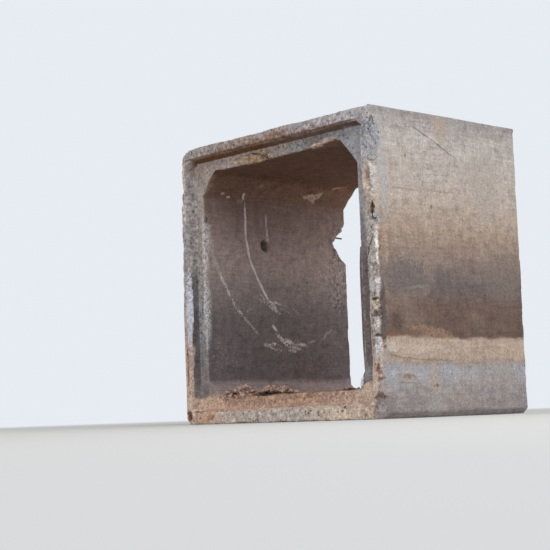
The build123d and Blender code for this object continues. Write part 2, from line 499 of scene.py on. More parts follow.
SHOULDER_COLOURS = (
    ((0.08, (0.50, 0.37, 0.30)), (0.17, (0.34, 0.275, 0.25)), (0.3, (0.28, 0.26, 0.265)),
     (0.45, (0.34, 0.34, 0.37)), (0.7, (0.41, 0.375, 0.36)), (1.15, (0.46, 0.40, 0.375))),
    ((0.12, (0.28, 0.22, 0.20)), (0.18, (0.22, 0.185, 0.18)), (0.68, (0.20, 0.165, 0.165)),
     (0.75, (0.38, 0.36, 0.37)), (0.95, (0.45, 0.44, 0.455)), (1.15, (0.44, 0.43, 0.46))),
    ((-0.5, (0.44, 0.36, 0.33)), (-0.3, (0.50, 0.41, 0.39)), (-0.1, (0.44, 0.37, 0.35)),
     (0.1, (0.40, 0.335, 0.31)), (0.3, (0.255, 0.255, 0.275)), (0.5, (0.41, 0.405, 0.44))),
    ((-0.5, (0.76, 0.54, 0.42)), (-0.40, (0.72, 0.50, 0.39)), (-0.36, (0.53, 0.355, 0.27)),
     (0.1, (0.57, 0.38, 0.28)), (0.41, (0.60, 0.43, 0.34)), (0.47, (0.76, 0.58, 0.48))),
)

X_AXIS, Y_AXIS = 0, 1


def turned(axis, rows):
    """Patches that turn about one axis, from rows that leave it out."""
    return [(centre, reach, axis, *rest) for centre, reach, *rest in rows]


def on_right_side(rows):
    """Patches on the right side, from rows that leave out their axis and the x that they share."""
    return turned(X_AXIS, [((SIDE_X, *centre), *rest) for centre, *rest in rows])


def on_face(axis, place, rows):
    """Thin marks on a face across that axis, from rows of points that leave out the place they share."""
    return [([(*pair[:axis], place, *pair[axis:]) for pair in points], *rest) for points, *rest in rows]


# Stains and patches, among them painted shade and painted highlights: centre, reach, turn about the axis in
# degrees, colour, strength and softness
SIDE_PATCHES = (
    # Right side
    ((-0.445, 1.06), (0.04, 0.032, 0.22), 3, (0.44, 0.43, 0.43), 0.7, 0.4),
    ((-0.452, 0.706), (0.03, 0.028, 0.070), 0, (0.44, 0.335, 0.265), 0.7, 0.4),
    # Painted shade: a dark stripe along the broken right arris
    ((-0.474, 0.43), (0.03, 0.019, 0.14), 0, (0.125, 0.10, 0.095), 0.95, 0.3),
    ((-0.426, 0.290), (0.04, 0.026, 0.028), 0, (0.58, 0.51, 0.47), 0.7, 0.5),
    ((-0.430, 0.262), (0.04, 0.034, 0.012), -10, (0.34, 0.29, 0.22), 0.75, 0.5),
    ((-0.468, 0.262), (0.03, 0.022, 0.024), -38, (0.40, 0.34, 0.31), 0.85, 0.3),
    ((-0.334, 1.222), (0.04, 0.022, 0.010), -10, (0.27, 0.25, 0.25), 0.7, 0.5),
    ((-0.150, 1.236), (0.04, 0.030, 0.004), 0, (0.28, 0.25, 0.24), 0.6, 0.6),
    ((-0.298, 1.103), (0.04, 0.010, 0.040), 0, (0.47, 0.44, 0.31), 0.7, 0.6),
    ((-0.293, 1.100), (0.04, 0.005, 0.008), 0, (0.22, 0.19, 0.15), 0.9, 0.5),
    ((-0.060, 1.245), (0.04, 0.055, 0.060), 0, (0.43, 0.345, 0.29), 0.7, 0.4),
    ((-0.030, 1.013), (0.04, 0.010, 0.008), 0, (0.26, 0.25, 0.26), 0.8, 0.5),
    ((-0.138, 0.893), (0.04, 0.006, 0.010), 0, (0.20, 0.14, 0.10), 0.9, 0.5),
    ((-0.187, 0.825), (0.04, 0.013, 0.024), 0, (0.50, 0.41, 0.35), 0.7, 0.5),
    ((-0.158, 0.786), (0.04, 0.012, 0.020), 0, (0.48, 0.38, 0.31), 0.6, 0.5),
    ((-0.316, 0.591), (0.04, 0.120, 0.070), 0, (0.165, 0.140, 0.138), 0.8, 0.6),
    ((-0.087, 0.590), (0.04, 0.060, 0.045), 0, (0.155, 0.13, 0.125), 0.7, 0.6),
    ((-0.252, 0.547), (0.04, 0.070, 0.006), 6, (0.27, 0.24, 0.22), 0.7, 0.6),
    ((-0.392, 0.393), (0.04, 0.030, 0.035), 0, (0.115, 0.078, 0.067), 0.8, 0.6),
    ((-0.17, 0.358), (0.04, 0.130, 0.020), -7, (0.33, 0.215, 0.15), 0.85, 0.6),
    ((-0.428, 0.350), (0.04, 0.050, 0.010), 0, (0.20, 0.11, 0.085), 0.8, 0.5),
    ((-0.30, 0.355), (0.04, 0.110, 0.012), 3, (0.21, 0.12, 0.085), 0.7, 0.6),
    ((-0.265, 0.285), (0.04, 0.090, 0.020), 0, (0.57, 0.475, 0.41), 0.6, 0.7),
    ((-0.335, 0.172), (0.04, 0.060, 0.040), 0, (0.44, 0.39, 0.35), 0.5, 0.8),
    ((-0.333, 0.169), (0.04, 0.038, 0.013), 0, (0.31, 0.235, 0.175), 0.85, 0.8),
    ((-0.330, 0.168), (0.04, 0.016, 0.006), 0, (0.26, 0.18, 0.12), 0.7, 0.8),
    ((-0.345, 0.145), (0.04, 0.065, 0.004), 0, (0.30, 0.25, 0.22), 0.7, 0.6),
    ((-0.165, 0.165), (0.04, 0.045, 0.060), 0, (0.44, 0.37, 0.33), 0.8, 0.6),
    ((-0.168, 0.130), (0.04, 0.034, 0.007), 0, (0.36, 0.28, 0.20), 0.7, 0.7),
    ((-0.158, 0.133), (0.04, 0.006, 0.008), 0, (0.17, 0.13, 0.10), 0.9, 0.5),
    ((-0.165, 0.036), (0.04, 0.065, 0.040), 0, (0.40, 0.37, 0.35), 0.8, 0.5),
    ((-0.300, 0.070), (0.04, 0.090, 0.030), 0, (0.29, 0.26, 0.265), 0.6, 0.6),
    ((-0.455, 0.050), (0.05, 0.030, 0.040), 0, (0.25, 0.21, 0.21), 0.7, 0.5),
    ((0.22, 1.02), (0.04, 0.10, 0.16), 0, (0.43, 0.375, 0.34), 0.7, 0.6),
    ((0.33, 0.60), (0.04, 0.12, 0.10), 0, (0.22, 0.175, 0.155), 0.7, 0.6),
    ((0.28, 0.17), (0.04, 0.13, 0.06), 0, (0.36, 0.31, 0.28), 0.7, 0.6),
)
RING_PATCHES = (
    # Right side of the rim, from the top down
    ((0.606, -0.480, 1.170), (0.034, 0.036, 0.072), 0, (0.32, 0.335, 0.38), 0.85, 0.4),
    ((0.588, -0.497, 1.190), (0.012, 0.020, 0.024), 15, (0.52, 0.52, 0.54), 0.8, 0.5),
    ((0.598, -0.488, 1.192), (0.012, 0.020, 0.018), 20, (0.25, 0.28, 0.36), 0.8, 0.5),
    ((0.600, -0.487, 1.160), (0.007, 0.020, 0.016), -20, (0.56, 0.55, 0.56), 0.8, 0.5),
    ((0.612, -0.478, 1.130), (0.010, 0.020, 0.010), 30, (0.50, 0.49, 0.50), 0.8, 0.5),
    ((0.604, -0.480, 1.079), (0.017, 0.030, 0.017), 0, (0.20, 0.18, 0.175), 0.85, 0.3),
    ((0.605, -0.479, 1.080), (0.012, 0.030, 0.012), 0, (0.46, 0.44, 0.42), 0.9, 0.3),
    ((0.610, -0.486, 1.100), (0.018, 0.018, 0.020), 0, (0.34, 0.35, 0.36), 0.8, 0.3),
    ((0.578, -0.492, 0.990), (0.022, 0.040, 0.080), 0, (0.62, 0.50, 0.43), 0.9, 0.3),
    ((0.584, -0.495, 1.010), (0.009, 0.030, 0.018), 0, (0.38, 0.26, 0.21), 0.85, 0.4),
    ((0.574, -0.495, 0.966), (0.012, 0.030, 0.014), 20, (0.76, 0.64, 0.50), 0.9, 0.4),
    ((0.616, -0.490, 0.998), (0.009, 0.022, 0.056), 0, (0.62, 0.60, 0.61), 0.85, 0.4),
    ((0.582, -0.495, 0.890), (0.018, 0.030, 0.050), 0, (0.56, 0.44, 0.37), 0.8, 0.4),
    # Painted shade in the narrow slot
    ((0.6085, -0.495, 0.862), (0.008, 0.030, 0.036), 0, (0.10, 0.06, 0.04), 0.97, 0.3),
    ((0.620, -0.486, 0.828), (0.016, 0.026, 0.030), 0, (0.33, 0.33, 0.34), 0.85, 0.5),
    ((0.616, -0.488, 0.812), (0.008, 0.024, 0.010), 20, (0.52, 0.52, 0.52), 0.8, 0.5),
    # Painted shade under the dent's upper edge
    ((0.612, -0.490, 0.826), (0.006, 0.024, 0.007), 20, (0.10, 0.085, 0.075), 0.85, 0.5),
    ((0.621, -0.488, 0.804), (0.004, 0.024, 0.004), 0, (0.14, 0.13, 0.14), 0.8, 0.5),
    ((0.577, -0.500, 0.808), (0.019, 0.030, 0.032), 0, (0.56, 0.545, 0.53), 0.85, 0.2),
    ((0.581, -0.500, 0.748), (0.020, 0.030, 0.026), 0, (0.58, 0.50, 0.46), 0.75, 0.4),
    ((0.608, -0.498, 0.690), (0.012, 0.016, 0.110), 0, (0.50, 0.47, 0.45), 0.7, 0.5),
    ((0.620, -0.494, 0.700), (0.0045, 0.014, 0.110), 0, (0.82, 0.78, 0.78), 0.95, 0.4),
    ((0.607, -0.495, 0.550), (0.024, 0.022, 0.032), 0, (0.62, 0.60, 0.63), 0.85, 0.5),
    ((0.618, -0.494, 0.568), (0.008, 0.016, 0.014), 0, (0.86, 0.82, 0.82), 0.9, 0.4),
    ((0.600, -0.500, 0.470), (0.022, 0.022, 0.020), 0, (0.64, 0.52, 0.40), 0.9, 0.5),
    # Painted shade in the narrow dent
    ((0.604, -0.495, 0.492), (0.018, 0.022, 0.006), -12, (0.13, 0.085, 0.06), 0.9, 0.4),
    ((0.604, -0.495, 0.428), (0.016, 0.022, 0.014), 0, (0.20, 0.17, 0.17), 0.85, 0.5),
    ((0.602, -0.497, 0.380), (0.016, 0.020, 0.032), 12, (0.76, 0.71, 0.69), 0.9, 0.5),
    # Painted shade in the narrow dent
    ((0.606, -0.495, 0.340), (0.020, 0.022, 0.006), 0, (0.11, 0.08, 0.07), 0.9, 0.4),
    ((0.603, -0.497, 0.295), (0.022, 0.022, 0.042), 0, (0.72, 0.69, 0.71), 0.9, 0.4),
    ((0.587, -0.500, 0.345), (0.009, 0.025, 0.110), 0, (0.34, 0.27, 0.235), 0.8, 0.4),
    ((0.609, -0.500, 0.202), (0.013, 0.025, 0.022), 0, (0.27, 0.155, 0.11), 0.9, 0.5),
    ((0.615, -0.490, 0.166), (0.012, 0.030, 0.008), 0, (0.19, 0.12, 0.09), 0.9, 0.4),
    ((0.545, -0.500, 0.118), (0.060, 0.040, 0.045), -30, (0.64, 0.48, 0.38), 0.8, 0.5),
    ((0.578, -0.500, 0.165), (0.010, 0.030, 0.060), 0, (0.70, 0.55, 0.45), 0.7, 0.5),
    ((0.574, -0.490, 0.146), (0.026, 0.045, 0.036), -12, (0.68, 0.52, 0.42), 0.9, 0.3),
    ((0.604, -0.488, 0.087), (0.032, 0.030, 0.010), 0, (0.24, 0.17, 0.15), 0.95, 0.3),
    ((0.608, -0.488, 0.103), (0.014, 0.030, 0.014), 0, (0.24, 0.17, 0.15), 0.95, 0.3),
    ((0.612, -0.490, 0.138), (0.010, 0.030, 0.026), 0, (0.38, 0.345, 0.365), 0.7, 0.5),
    # Soil-coloured, and painted light where the rim shades the socket's lower right corner
    ((0.553, -0.490, 0.135), (0.032, 0.050, 0.028), -20, (0.86, 0.65, 0.53), 0.95, 0.3),
    ((0.606, -0.490, 0.045), (0.028, 0.050, 0.035), 0, (0.28, 0.235, 0.235), 0.9, 0.5),
    ((0.610, -0.495, 0.048), (0.012, 0.030, 0.018), 0, (0.44, 0.38, 0.38), 0.7, 0.6),
    ((0.120, -0.495, 0.060), (0.300, 0.030, 0.009), 0, (0.64, 0.55, 0.49), 0.85, 0.5),
    # Painted highlight on the lip of the hole in the bottom of the rim
    ((0.389, -0.500, 0.054), (0.020, 0.030, 0.010), 10, (0.80, 0.72, 0.66), 0.6, 0.6),
    # Top of the rim
    ((-0.040, -0.50, 1.284), (0.045, 0.03, 0.014), 0, (0.46, 0.39, 0.40), 0.7, 0.5),
    ((0.045, -0.50, 1.272), (0.070, 0.03, 0.012), 0, (0.34, 0.19, 0.145), 0.8, 0.5),
    ((-0.060, -0.50, 1.252), (0.110, 0.03, 0.009), 0, (0.32, 0.20, 0.15), 0.8, 0.5),
    ((-0.300, -0.50, 1.250), (0.120, 0.03, 0.006), 0, (0.22, 0.13, 0.09), 0.75, 0.5),
    ((-0.430, -0.50, 1.278), (0.060, 0.03, 0.014), 0, (0.46, 0.42, 0.41), 0.6, 0.6),
    ((-0.200, -0.50, 1.286), (0.060, 0.03, 0.010), 0, (0.42, 0.32, 0.28), 0.6, 0.6),
    ((0.180, -0.50, 1.284), (0.055, 0.03, 0.012), 0, (0.42, 0.41, 0.47), 0.8, 0.5),
    ((0.300, -0.50, 1.254), (0.090, 0.03, 0.009), 0, (0.33, 0.20, 0.18), 0.8, 0.5),
    ((0.430, -0.50, 1.250), (0.060, 0.03, 0.006), 0, (0.30, 0.18, 0.16), 0.7, 0.5),
    ((0.380, -0.50, 1.286), (0.060, 0.03, 0.010), 0, (0.50, 0.46, 0.44), 0.6, 0.5),
    ((-0.580, -0.50, 1.262), (0.030, 0.02, 0.022), 0, (0.46, 0.44, 0.46), 0.7, 0.6),
    # Left side and bottom of the rim
    ((-0.594, -0.49, 1.10), (0.013, 0.05, 0.18), 0, (0.76, 0.61, 0.57), 0.9, 0.4),
    ((-0.574, -0.50, 0.98), (0.008, 0.02, 0.20), 0, (0.36, 0.35, 0.36), 0.6, 0.5),
    ((-0.578, -0.500, 0.552), (0.024, 0.016, 0.180), 2, (0.70, 0.71, 0.82), 0.95, 0.25),
    ((-0.612, -0.50, 0.42), (0.014, 0.04, 0.22), 0, (0.58, 0.45, 0.39), 0.7, 0.4),
    ((-0.612, -0.50, 0.22), (0.020, 0.04, 0.17), 0, (0.64, 0.45, 0.355), 0.8, 0.4),
    ((-0.604, -0.50, 0.270), (0.004, 0.03, 0.095), 0, (0.24, 0.13, 0.095), 0.9, 0.3),
    ((-0.603, -0.49, 0.040), (0.020, 0.05, 0.022), 0, (0.24, 0.12, 0.075), 0.9, 0.4),
    ((-0.484, -0.50, 0.035), (0.075, 0.04, 0.030), -6, (0.67, 0.43, 0.31), 0.85, 0.3),
    ((-0.535, -0.47, 0.155), (0.036, 0.05, 0.034), 0, (0.20, 0.195, 0.215), 0.75, 0.5),
    ((-0.450, -0.50, 0.030), (0.030, 0.04, 0.012), -10, (0.36, 0.19, 0.12), 0.7, 0.5),
    ((-0.540, -0.50, 0.085), (0.040, 0.03, 0.014), 10, (0.42, 0.33, 0.27), 0.8, 0.6),
    # Painted shade in the hole in the bottom of the rim
    ((0.393, -0.50, 0.050), (0.011, 0.03, 0.015), 0, (0.10, 0.08, 0.075), 0.9, 0.4),
    ((0.337, -0.50, 0.100), (0.012, 0.03, 0.006), 0, (0.18, 0.11, 0.08), 0.85, 0.5),
    ((0.180, -0.48, 0.108), (0.180, 0.03, 0.010), 0, (0.44, 0.24, 0.16), 0.6, 0.6),
    # Shoulder
    ((-0.140, -0.46, 1.197), (0.110, 0.03, 0.022), 0, (0.50, 0.305, 0.17), 0.9, 0.7),
    # Painted highlights: the lighter patches inside the flake
    ((-0.225, -0.46, 1.193), (0.060, 0.03, 0.010), 6, (0.54, 0.42, 0.33), 0.7, 0.7),
    ((-0.150, -0.46, 1.210), (0.050, 0.03, 0.005), 4, (0.56, 0.41, 0.27), 0.7, 0.6),
    ((-0.110, -0.46, 1.184), (0.055, 0.03, 0.005), 0, (0.50, 0.38, 0.27), 0.6, 0.6),
    # Painted shade in the flake's deep end
    ((-0.062, -0.46, 1.192), (0.016, 0.03, 0.010), 30, (0.10, 0.06, 0.045), 0.9, 0.5),
    # Painted shadow under the clods, on the concrete
    ((-0.115, SHOULDER, 0.124), (0.075, 0.02, 0.006), 0, (0.035, 0.022, 0.018), 0.95, 0.3),
    ((0.467, -0.46, 1.165), (0.055, 0.03, 0.065), 0, (0.43, 0.43, 0.47), 0.8, 0.5),
    ((0.150, -0.46, 1.200), (0.070, 0.03, 0.018), 0, (0.36, 0.38, 0.38), 0.7, 0.4),
    ((0.505, -0.47, 0.184), (0.050, 0.04, 0.040), 0, (0.31, 0.31, 0.335), 0.9, 0.3),
    ((0.474, -0.46, 0.166), (0.009, 0.04, 0.026), 0, (0.88, 0.84, 0.80), 0.95, 0.3),
    ((0.512, SHOULDER, 0.774), (0.012, 0.03, 0.110), 0, (0.25, 0.21, 0.225), 0.7, 0.4),
)
WATERWAY_PATCHES = (
    # Waterway: holes by the near edge, painted near-black as shade in them, and spalls on the upper left
    # haunch
    ((-0.500, -0.446, 0.958), (0.02, 0.010, 0.016), 0, (0.05, 0.035, 0.032), 0.95, 0.4),
    ((-0.500, -0.444, 0.905), (0.02, 0.009, 0.012), 0, (0.07, 0.05, 0.045), 0.9, 0.4),
    ((-0.500, -0.425, 0.930), (0.02, 0.010, 0.010), 0, (0.46, 0.38, 0.35), 0.8, 0.5),
    ((-0.484, -0.350, 1.092), (0.03, 0.010, 0.005), 0, (0.54, 0.41, 0.34), 0.85, 0.4),
    ((-0.493, -0.305, 1.080), (0.03, 0.013, 0.005), 0, (0.74, 0.59, 0.49), 0.9, 0.4),
    ((-0.486, -0.214, 1.088), (0.03, 0.009, 0.020), 25, (0.80, 0.66, 0.56), 0.95, 0.3),
    ((-0.500, -0.228, 1.066), (0.03, 0.016, 0.010), 0, (0.38, 0.30, 0.26), 0.8, 0.5),
    ((-0.438, -0.141, 1.137), (0.03, 0.014, 0.009), 0, (0.40, 0.28, 0.21), 0.8, 0.5),
    ((-0.457, 0.205, 1.118), (0.04, 0.040, 0.010), 8, (0.66, 0.50, 0.40), 0.95, 0.35),
    ((-0.455, 0.262, 1.122), (0.04, 0.035, 0.014), 30, (0.72, 0.55, 0.45), 0.95, 0.35),
    ((-0.468, 0.235, 1.104), (0.04, 0.030, 0.008), -20, (0.60, 0.45, 0.37), 0.9, 0.4),
    ((-0.457, 0.255, 1.119), (0.04, 0.010, 0.006), 0, (0.25, 0.14, 0.10), 0.8, 0.5),
    ((-0.409, 0.370, 1.166), (0.04, 0.040, 0.007), 6, (0.56, 0.40, 0.31), 0.8, 0.5),
    ((-0.406, 0.405, 1.169), (0.04, 0.030, 0.012), 20, (0.42, 0.20, 0.125), 0.9, 0.5),
    ((-0.450, 0.300, 0.165), (0.080, 0.190, 0.030), 0, (0.60, 0.49, 0.47), 0.4, 0.5),
    ((-0.500, 0.475, 0.800), (0.04, 0.040, 0.090), 0, (0.46, 0.41, 0.38), 0.75, 0.6),
    ((-0.500, 0.470, 0.980), (0.04, 0.030, 0.050), 0, (0.40, 0.34, 0.31), 0.6, 0.6),
)
# All of them, in the order that they are laid
PATCHES = (
    *on_right_side(SIDE_PATCHES), *turned(Y_AXIS, RING_PATCHES), *turned(X_AXIS, WATERWAY_PATCHES),
)

# Thin marks along a few points: the points, width, colour, strength and how broken up each is
WHITE, PALE, DARK = (0.86, 0.80, 0.78), (0.70, 0.62, 0.59), (0.11, 0.08, 0.07)
WALL_MARKS = (
    # The long scratch in the left wall and the smear at its end
    (((-0.194, 1.045), (-0.195, 0.889), (-0.174, 0.783), (-0.137, 0.710), (-0.070, 0.600)), 0.0072,
     (0.86, 0.79, 0.75), 0.95, 0.0),
    (((-0.095, 0.640), (-0.061, 0.592), (-0.012, 0.550)), 0.008, WHITE, 0.95, 0.5),
    (((-0.105, 0.610), (-0.050, 0.556), (0.010, 0.528)), 0.007, WHITE, 0.85, 1.0),
    (((-0.040, 0.582), (0.028, 0.572)), 0.007, WHITE, 0.8, 1.0),
    (((-0.150, 0.606), (-0.080, 0.574)), 0.008, PALE, 0.6, 1.0),
    # The short scratch beside the recess
    (((-0.057, 1.012), (-0.056, 0.950), (-0.050, 0.900)), 0.0062, PALE, 0.85, 0.0),
    (((-0.055, 0.915), (-0.046, 0.838)), 0.0095, (0.80, 0.74, 0.70), 0.9, 0.2),
    # The wide faint scratch near the mouth
    (((-0.436, 0.930), (-0.410, 0.791), (-0.352, 0.679)), 0.013, (0.56, 0.48, 0.45), 0.6, 0.4),
    (((-0.365, 0.700), (-0.330, 0.640), (-0.311, 0.604)), 0.0085, (0.76, 0.69, 0.66), 0.8, 0.5),
    (((-0.300, 0.588), (-0.270, 0.545), (-0.235, 0.515)), 0.009, (0.78, 0.71, 0.68), 0.75, 1.0),
    (((-0.225, 0.504), (-0.182, 0.467), (-0.138, 0.425)), 0.006, (0.64, 0.57, 0.55), 0.65, 0.4),
    (((-0.210, 0.530), (-0.155, 0.560)), 0.006, (0.52, 0.46, 0.44), 0.6, 0.6),
    # The smears low on the left wall
    (((-0.040, 0.468), (-0.008, 0.438)), 0.008, WHITE, 0.95, 0.4),
    (((-0.014, 0.424), (0.030, 0.398), (0.090, 0.378)), 0.0075, WHITE, 0.95, 0.6),
    (((0.010, 0.398), (0.070, 0.362), (0.141, 0.352)), 0.0075, WHITE, 0.95, 0.8),
    (((0.050, 0.402), (0.110, 0.374), (0.180, 0.372)), 0.007, WHITE, 0.9, 0.8),
    (((0.060, 0.348), (0.120, 0.338)), 0.007, WHITE, 0.85, 1.0),
    (((-0.100, 0.372), (-0.060, 0.370), (-0.020, 0.378)), 0.008, WHITE, 0.9, 0.7),
    (((-0.080, 0.380), (-0.040, 0.352), (0.020, 0.348)), 0.007, WHITE, 0.85, 1.0),
    (((0.140, 0.386), (0.195, 0.366)), 0.006, PALE, 0.7, 0.8),
    (((0.310, 0.404), (0.338, 0.440)), 0.0065, PALE, 0.8, 0.6),
    (((0.345, 0.430), (0.375, 0.462)), 0.0055, PALE, 0.6, 0.8),
    (((0.205, 0.382), (0.250, 0.398)), 0.006, PALE, 0.6, 0.8),
    # Fine hairlines higher up
    (((0.100, 0.560), (0.150, 0.522)), 0.004, PALE, 0.45, 0.4),
    (((0.060, 0.540), (0.110, 0.500)), 0.003, PALE, 0.3, 0.4),
    (((0.050, 0.860), (0.215, 0.965)), 0.0045, (0.52, 0.43, 0.40), 0.5, 0.4),
    (((0.095, 0.930), (0.165, 0.985)), 0.004, (0.52, 0.43, 0.40), 0.4, 0.4),
    (((0.130, 0.700), (0.220, 0.590)), 0.004, (0.42, 0.36, 0.34), 0.35, 0.4),
)
SIDE_MARKS = (
    # Scratches and the stain's lower edge on the right side
    (((-0.238, 1.232), (-0.13, 1.192), (0.012, 1.130)), 0.0036, (0.20, 0.18, 0.175), 0.85, 0.0),
    (((-0.417, 0.961), (-0.20, 0.960), (0.012, 0.966)), 0.0022, (0.28, 0.23, 0.19), 0.7, 0.0),
    (((-0.450, 0.262), (-0.360, 0.249), (-0.262, 0.242), (-0.10, 0.239)), 0.0045, (0.26, 0.19, 0.145),
     0.75, 0.3),
    (((-0.468, 0.765), (-0.458, 0.655)), 0.020, (0.20, 0.12, 0.08), 0.75, 1.0),
    (((-0.395, 0.975), (-0.300, 0.905), (-0.205, 0.915)), 0.004, (0.36, 0.31, 0.28), 0.4, 0.6),
)
FLAKE_MARKS = (
    # The flake's arc and its dark end, painted shade under the flake's upper edge and in its deep end, and
    # the pale ridge beside it
    (((-0.285, 1.208), (-0.229, 1.217), (-0.150, 1.222)), 0.0036, (0.26, 0.17, 0.12), 0.7, 0.2),
    (((-0.155, 1.222), (-0.095, 1.208), (-0.052, 1.174)), 0.0046, (0.10, 0.065, 0.045), 0.95, 0.0),
    (((-0.280, 1.190), (-0.229, 1.205), (-0.160, 1.212)), 0.005, (0.60, 0.47, 0.35), 0.7, 0.3),
)
CRACKS = (
    # Cracks at the right of the rim
    (((0.610, -0.480, 1.254), (0.604, -0.484, 1.226)), 0.0040, (0.15, 0.11, 0.09), 0.9, 0.0),
    (((0.610, -0.480, 1.254), (0.613, -0.476, 1.232), (0.616, -0.472, 1.212)), 0.0030, (0.15, 0.11, 0.09),
     0.9, 0.0),
)
RIM_MARKS = (
    (((0.607, 0.748), (0.586, 0.712), (0.577, 0.672)), 0.0052, DARK, 0.95, 0.0),
    # The crease under the top of the rim, a dark line of painted shade, and the paler arris over it, partly
    # worn and partly a painted highlight
    (((-0.590, 1.249), (-0.3, 1.250), (0.0, 1.250), (0.3, 1.249), (0.54, 1.250)), 0.0055,
     (0.19, 0.105, 0.07), 0.85, 0.0),
    (((-0.58, 1.287), (-0.2, 1.288), (0.2, 1.287), (0.58, 1.288)), 0.010, (0.52, 0.47, 0.45), 0.55,
     0.3),
)
MOUTH_MARKS = (
    # Lines along the waterway's near edge: paler where its top is worn and down its left side, darker down
    # its right side
    (((0.235, 1.184), (0.300, 1.196), (0.368, 1.206)), 0.010, (0.82, 0.60, 0.48), 0.95, 0.5),
    (((-0.500, 1.080), (-0.455, 1.140), (-0.425, 1.178)), 0.008, (0.48, 0.38, 0.28), 0.4, 0.6),
    (((-0.504, 0.960), (-0.508, 0.700), (-0.504, 0.390)), 0.013, (0.76, 0.76, 0.78), 0.75, 0.7),
    (((0.496, 0.980), (0.494, 0.720)), 0.009, (0.36, 0.335, 0.345), 0.9, 0.0),
    (((0.494, 0.740), (0.490, 0.215)), 0.009, (0.17, 0.14, 0.145), 0.9, 0.2),
)
MOUND_FACE = -0.495
MOUND_MARKS = (
    # The pale line round the mound of soil at the foot of the right side
    (((0.597, 0.165), (0.594, 0.115), (0.572, 0.090)), 0.005, (0.78, 0.64, 0.55), 0.85, 0.2),
)
FOOT_SHADE_MARKS = (
    # Painted shade along the top of a stone that is not modelled, on the upper edge of the tan patch low on
    # the left
    (((-0.560, 0.056), (-0.482, 0.064), (-0.418, 0.072)), 0.005, (0.20, 0.13, 0.10), 0.8, 0.2),
)
# All of them, in the order that they are laid
TRAILS = (
    *on_face(X_AXIS, WALL_X, WALL_MARKS), *on_face(X_AXIS, SIDE_X, SIDE_MARKS),
    *on_face(Y_AXIS, SHOULDER, FLAKE_MARKS), *CRACKS, *on_face(Y_AXIS, SOCKET_FACE, RIM_MARKS),
    *on_face(Y_AXIS, SHOULDER, MOUTH_MARKS), *on_face(Y_AXIS, MOUND_FACE, MOUND_MARKS),
    *on_face(Y_AXIS, SOCKET_FACE, FOOT_SHADE_MARKS),
)

# Painted shadow in the soil under the clods: centre and reach
CLOD_SHADOW_PLACES = (
    ((-0.115, SHOULDER, 0.130), (0.075, 0.04, 0.009)),
    ((0.020, SHOULDER, 0.128), (0.050, 0.04, 0.004)),
    ((-0.330, SHOULDER, 0.132), (0.012, 0.03, 0.010)),
    ((0.385, -0.44, 0.132), (0.035, 0.05, 0.008)),
)

# Scattered white scuffs on the left wall: centre, reach and strength
SCUFFS = (
    ((WALL_X, -0.020, 0.560), (0.02, 0.080, 0.040), 0.6),
    ((WALL_X, 0.050, 0.368), (0.02, 0.130, 0.042), 0.7),
    ((WALL_X, -0.36, 0.31), (0.02, 0.10, 0.08), 0.35),
    ((WALL_X, 0.33, 0.42), (0.02, 0.06, 0.05), 0.3),
    ((WALL_X, 0.02, 0.27), (0.02, 0.07, 0.03), 0.25),
    ((WALL_X, -0.26, 0.56), (0.02, 0.06, 0.06), 0.35),
    ((WALL_X, 0.44, 0.67), (0.02, 0.08, 0.15), 0.6),
    ((WALL_X, 0.16, 0.185), (0.04, 0.09, 0.012), 0.55),
)



def opaque(colour):
    """A colour, or a number for a grey, with full opacity."""
    return (*colour, 1.0) if isinstance(colour, tuple) else (colour, colour, colour, 1.0)


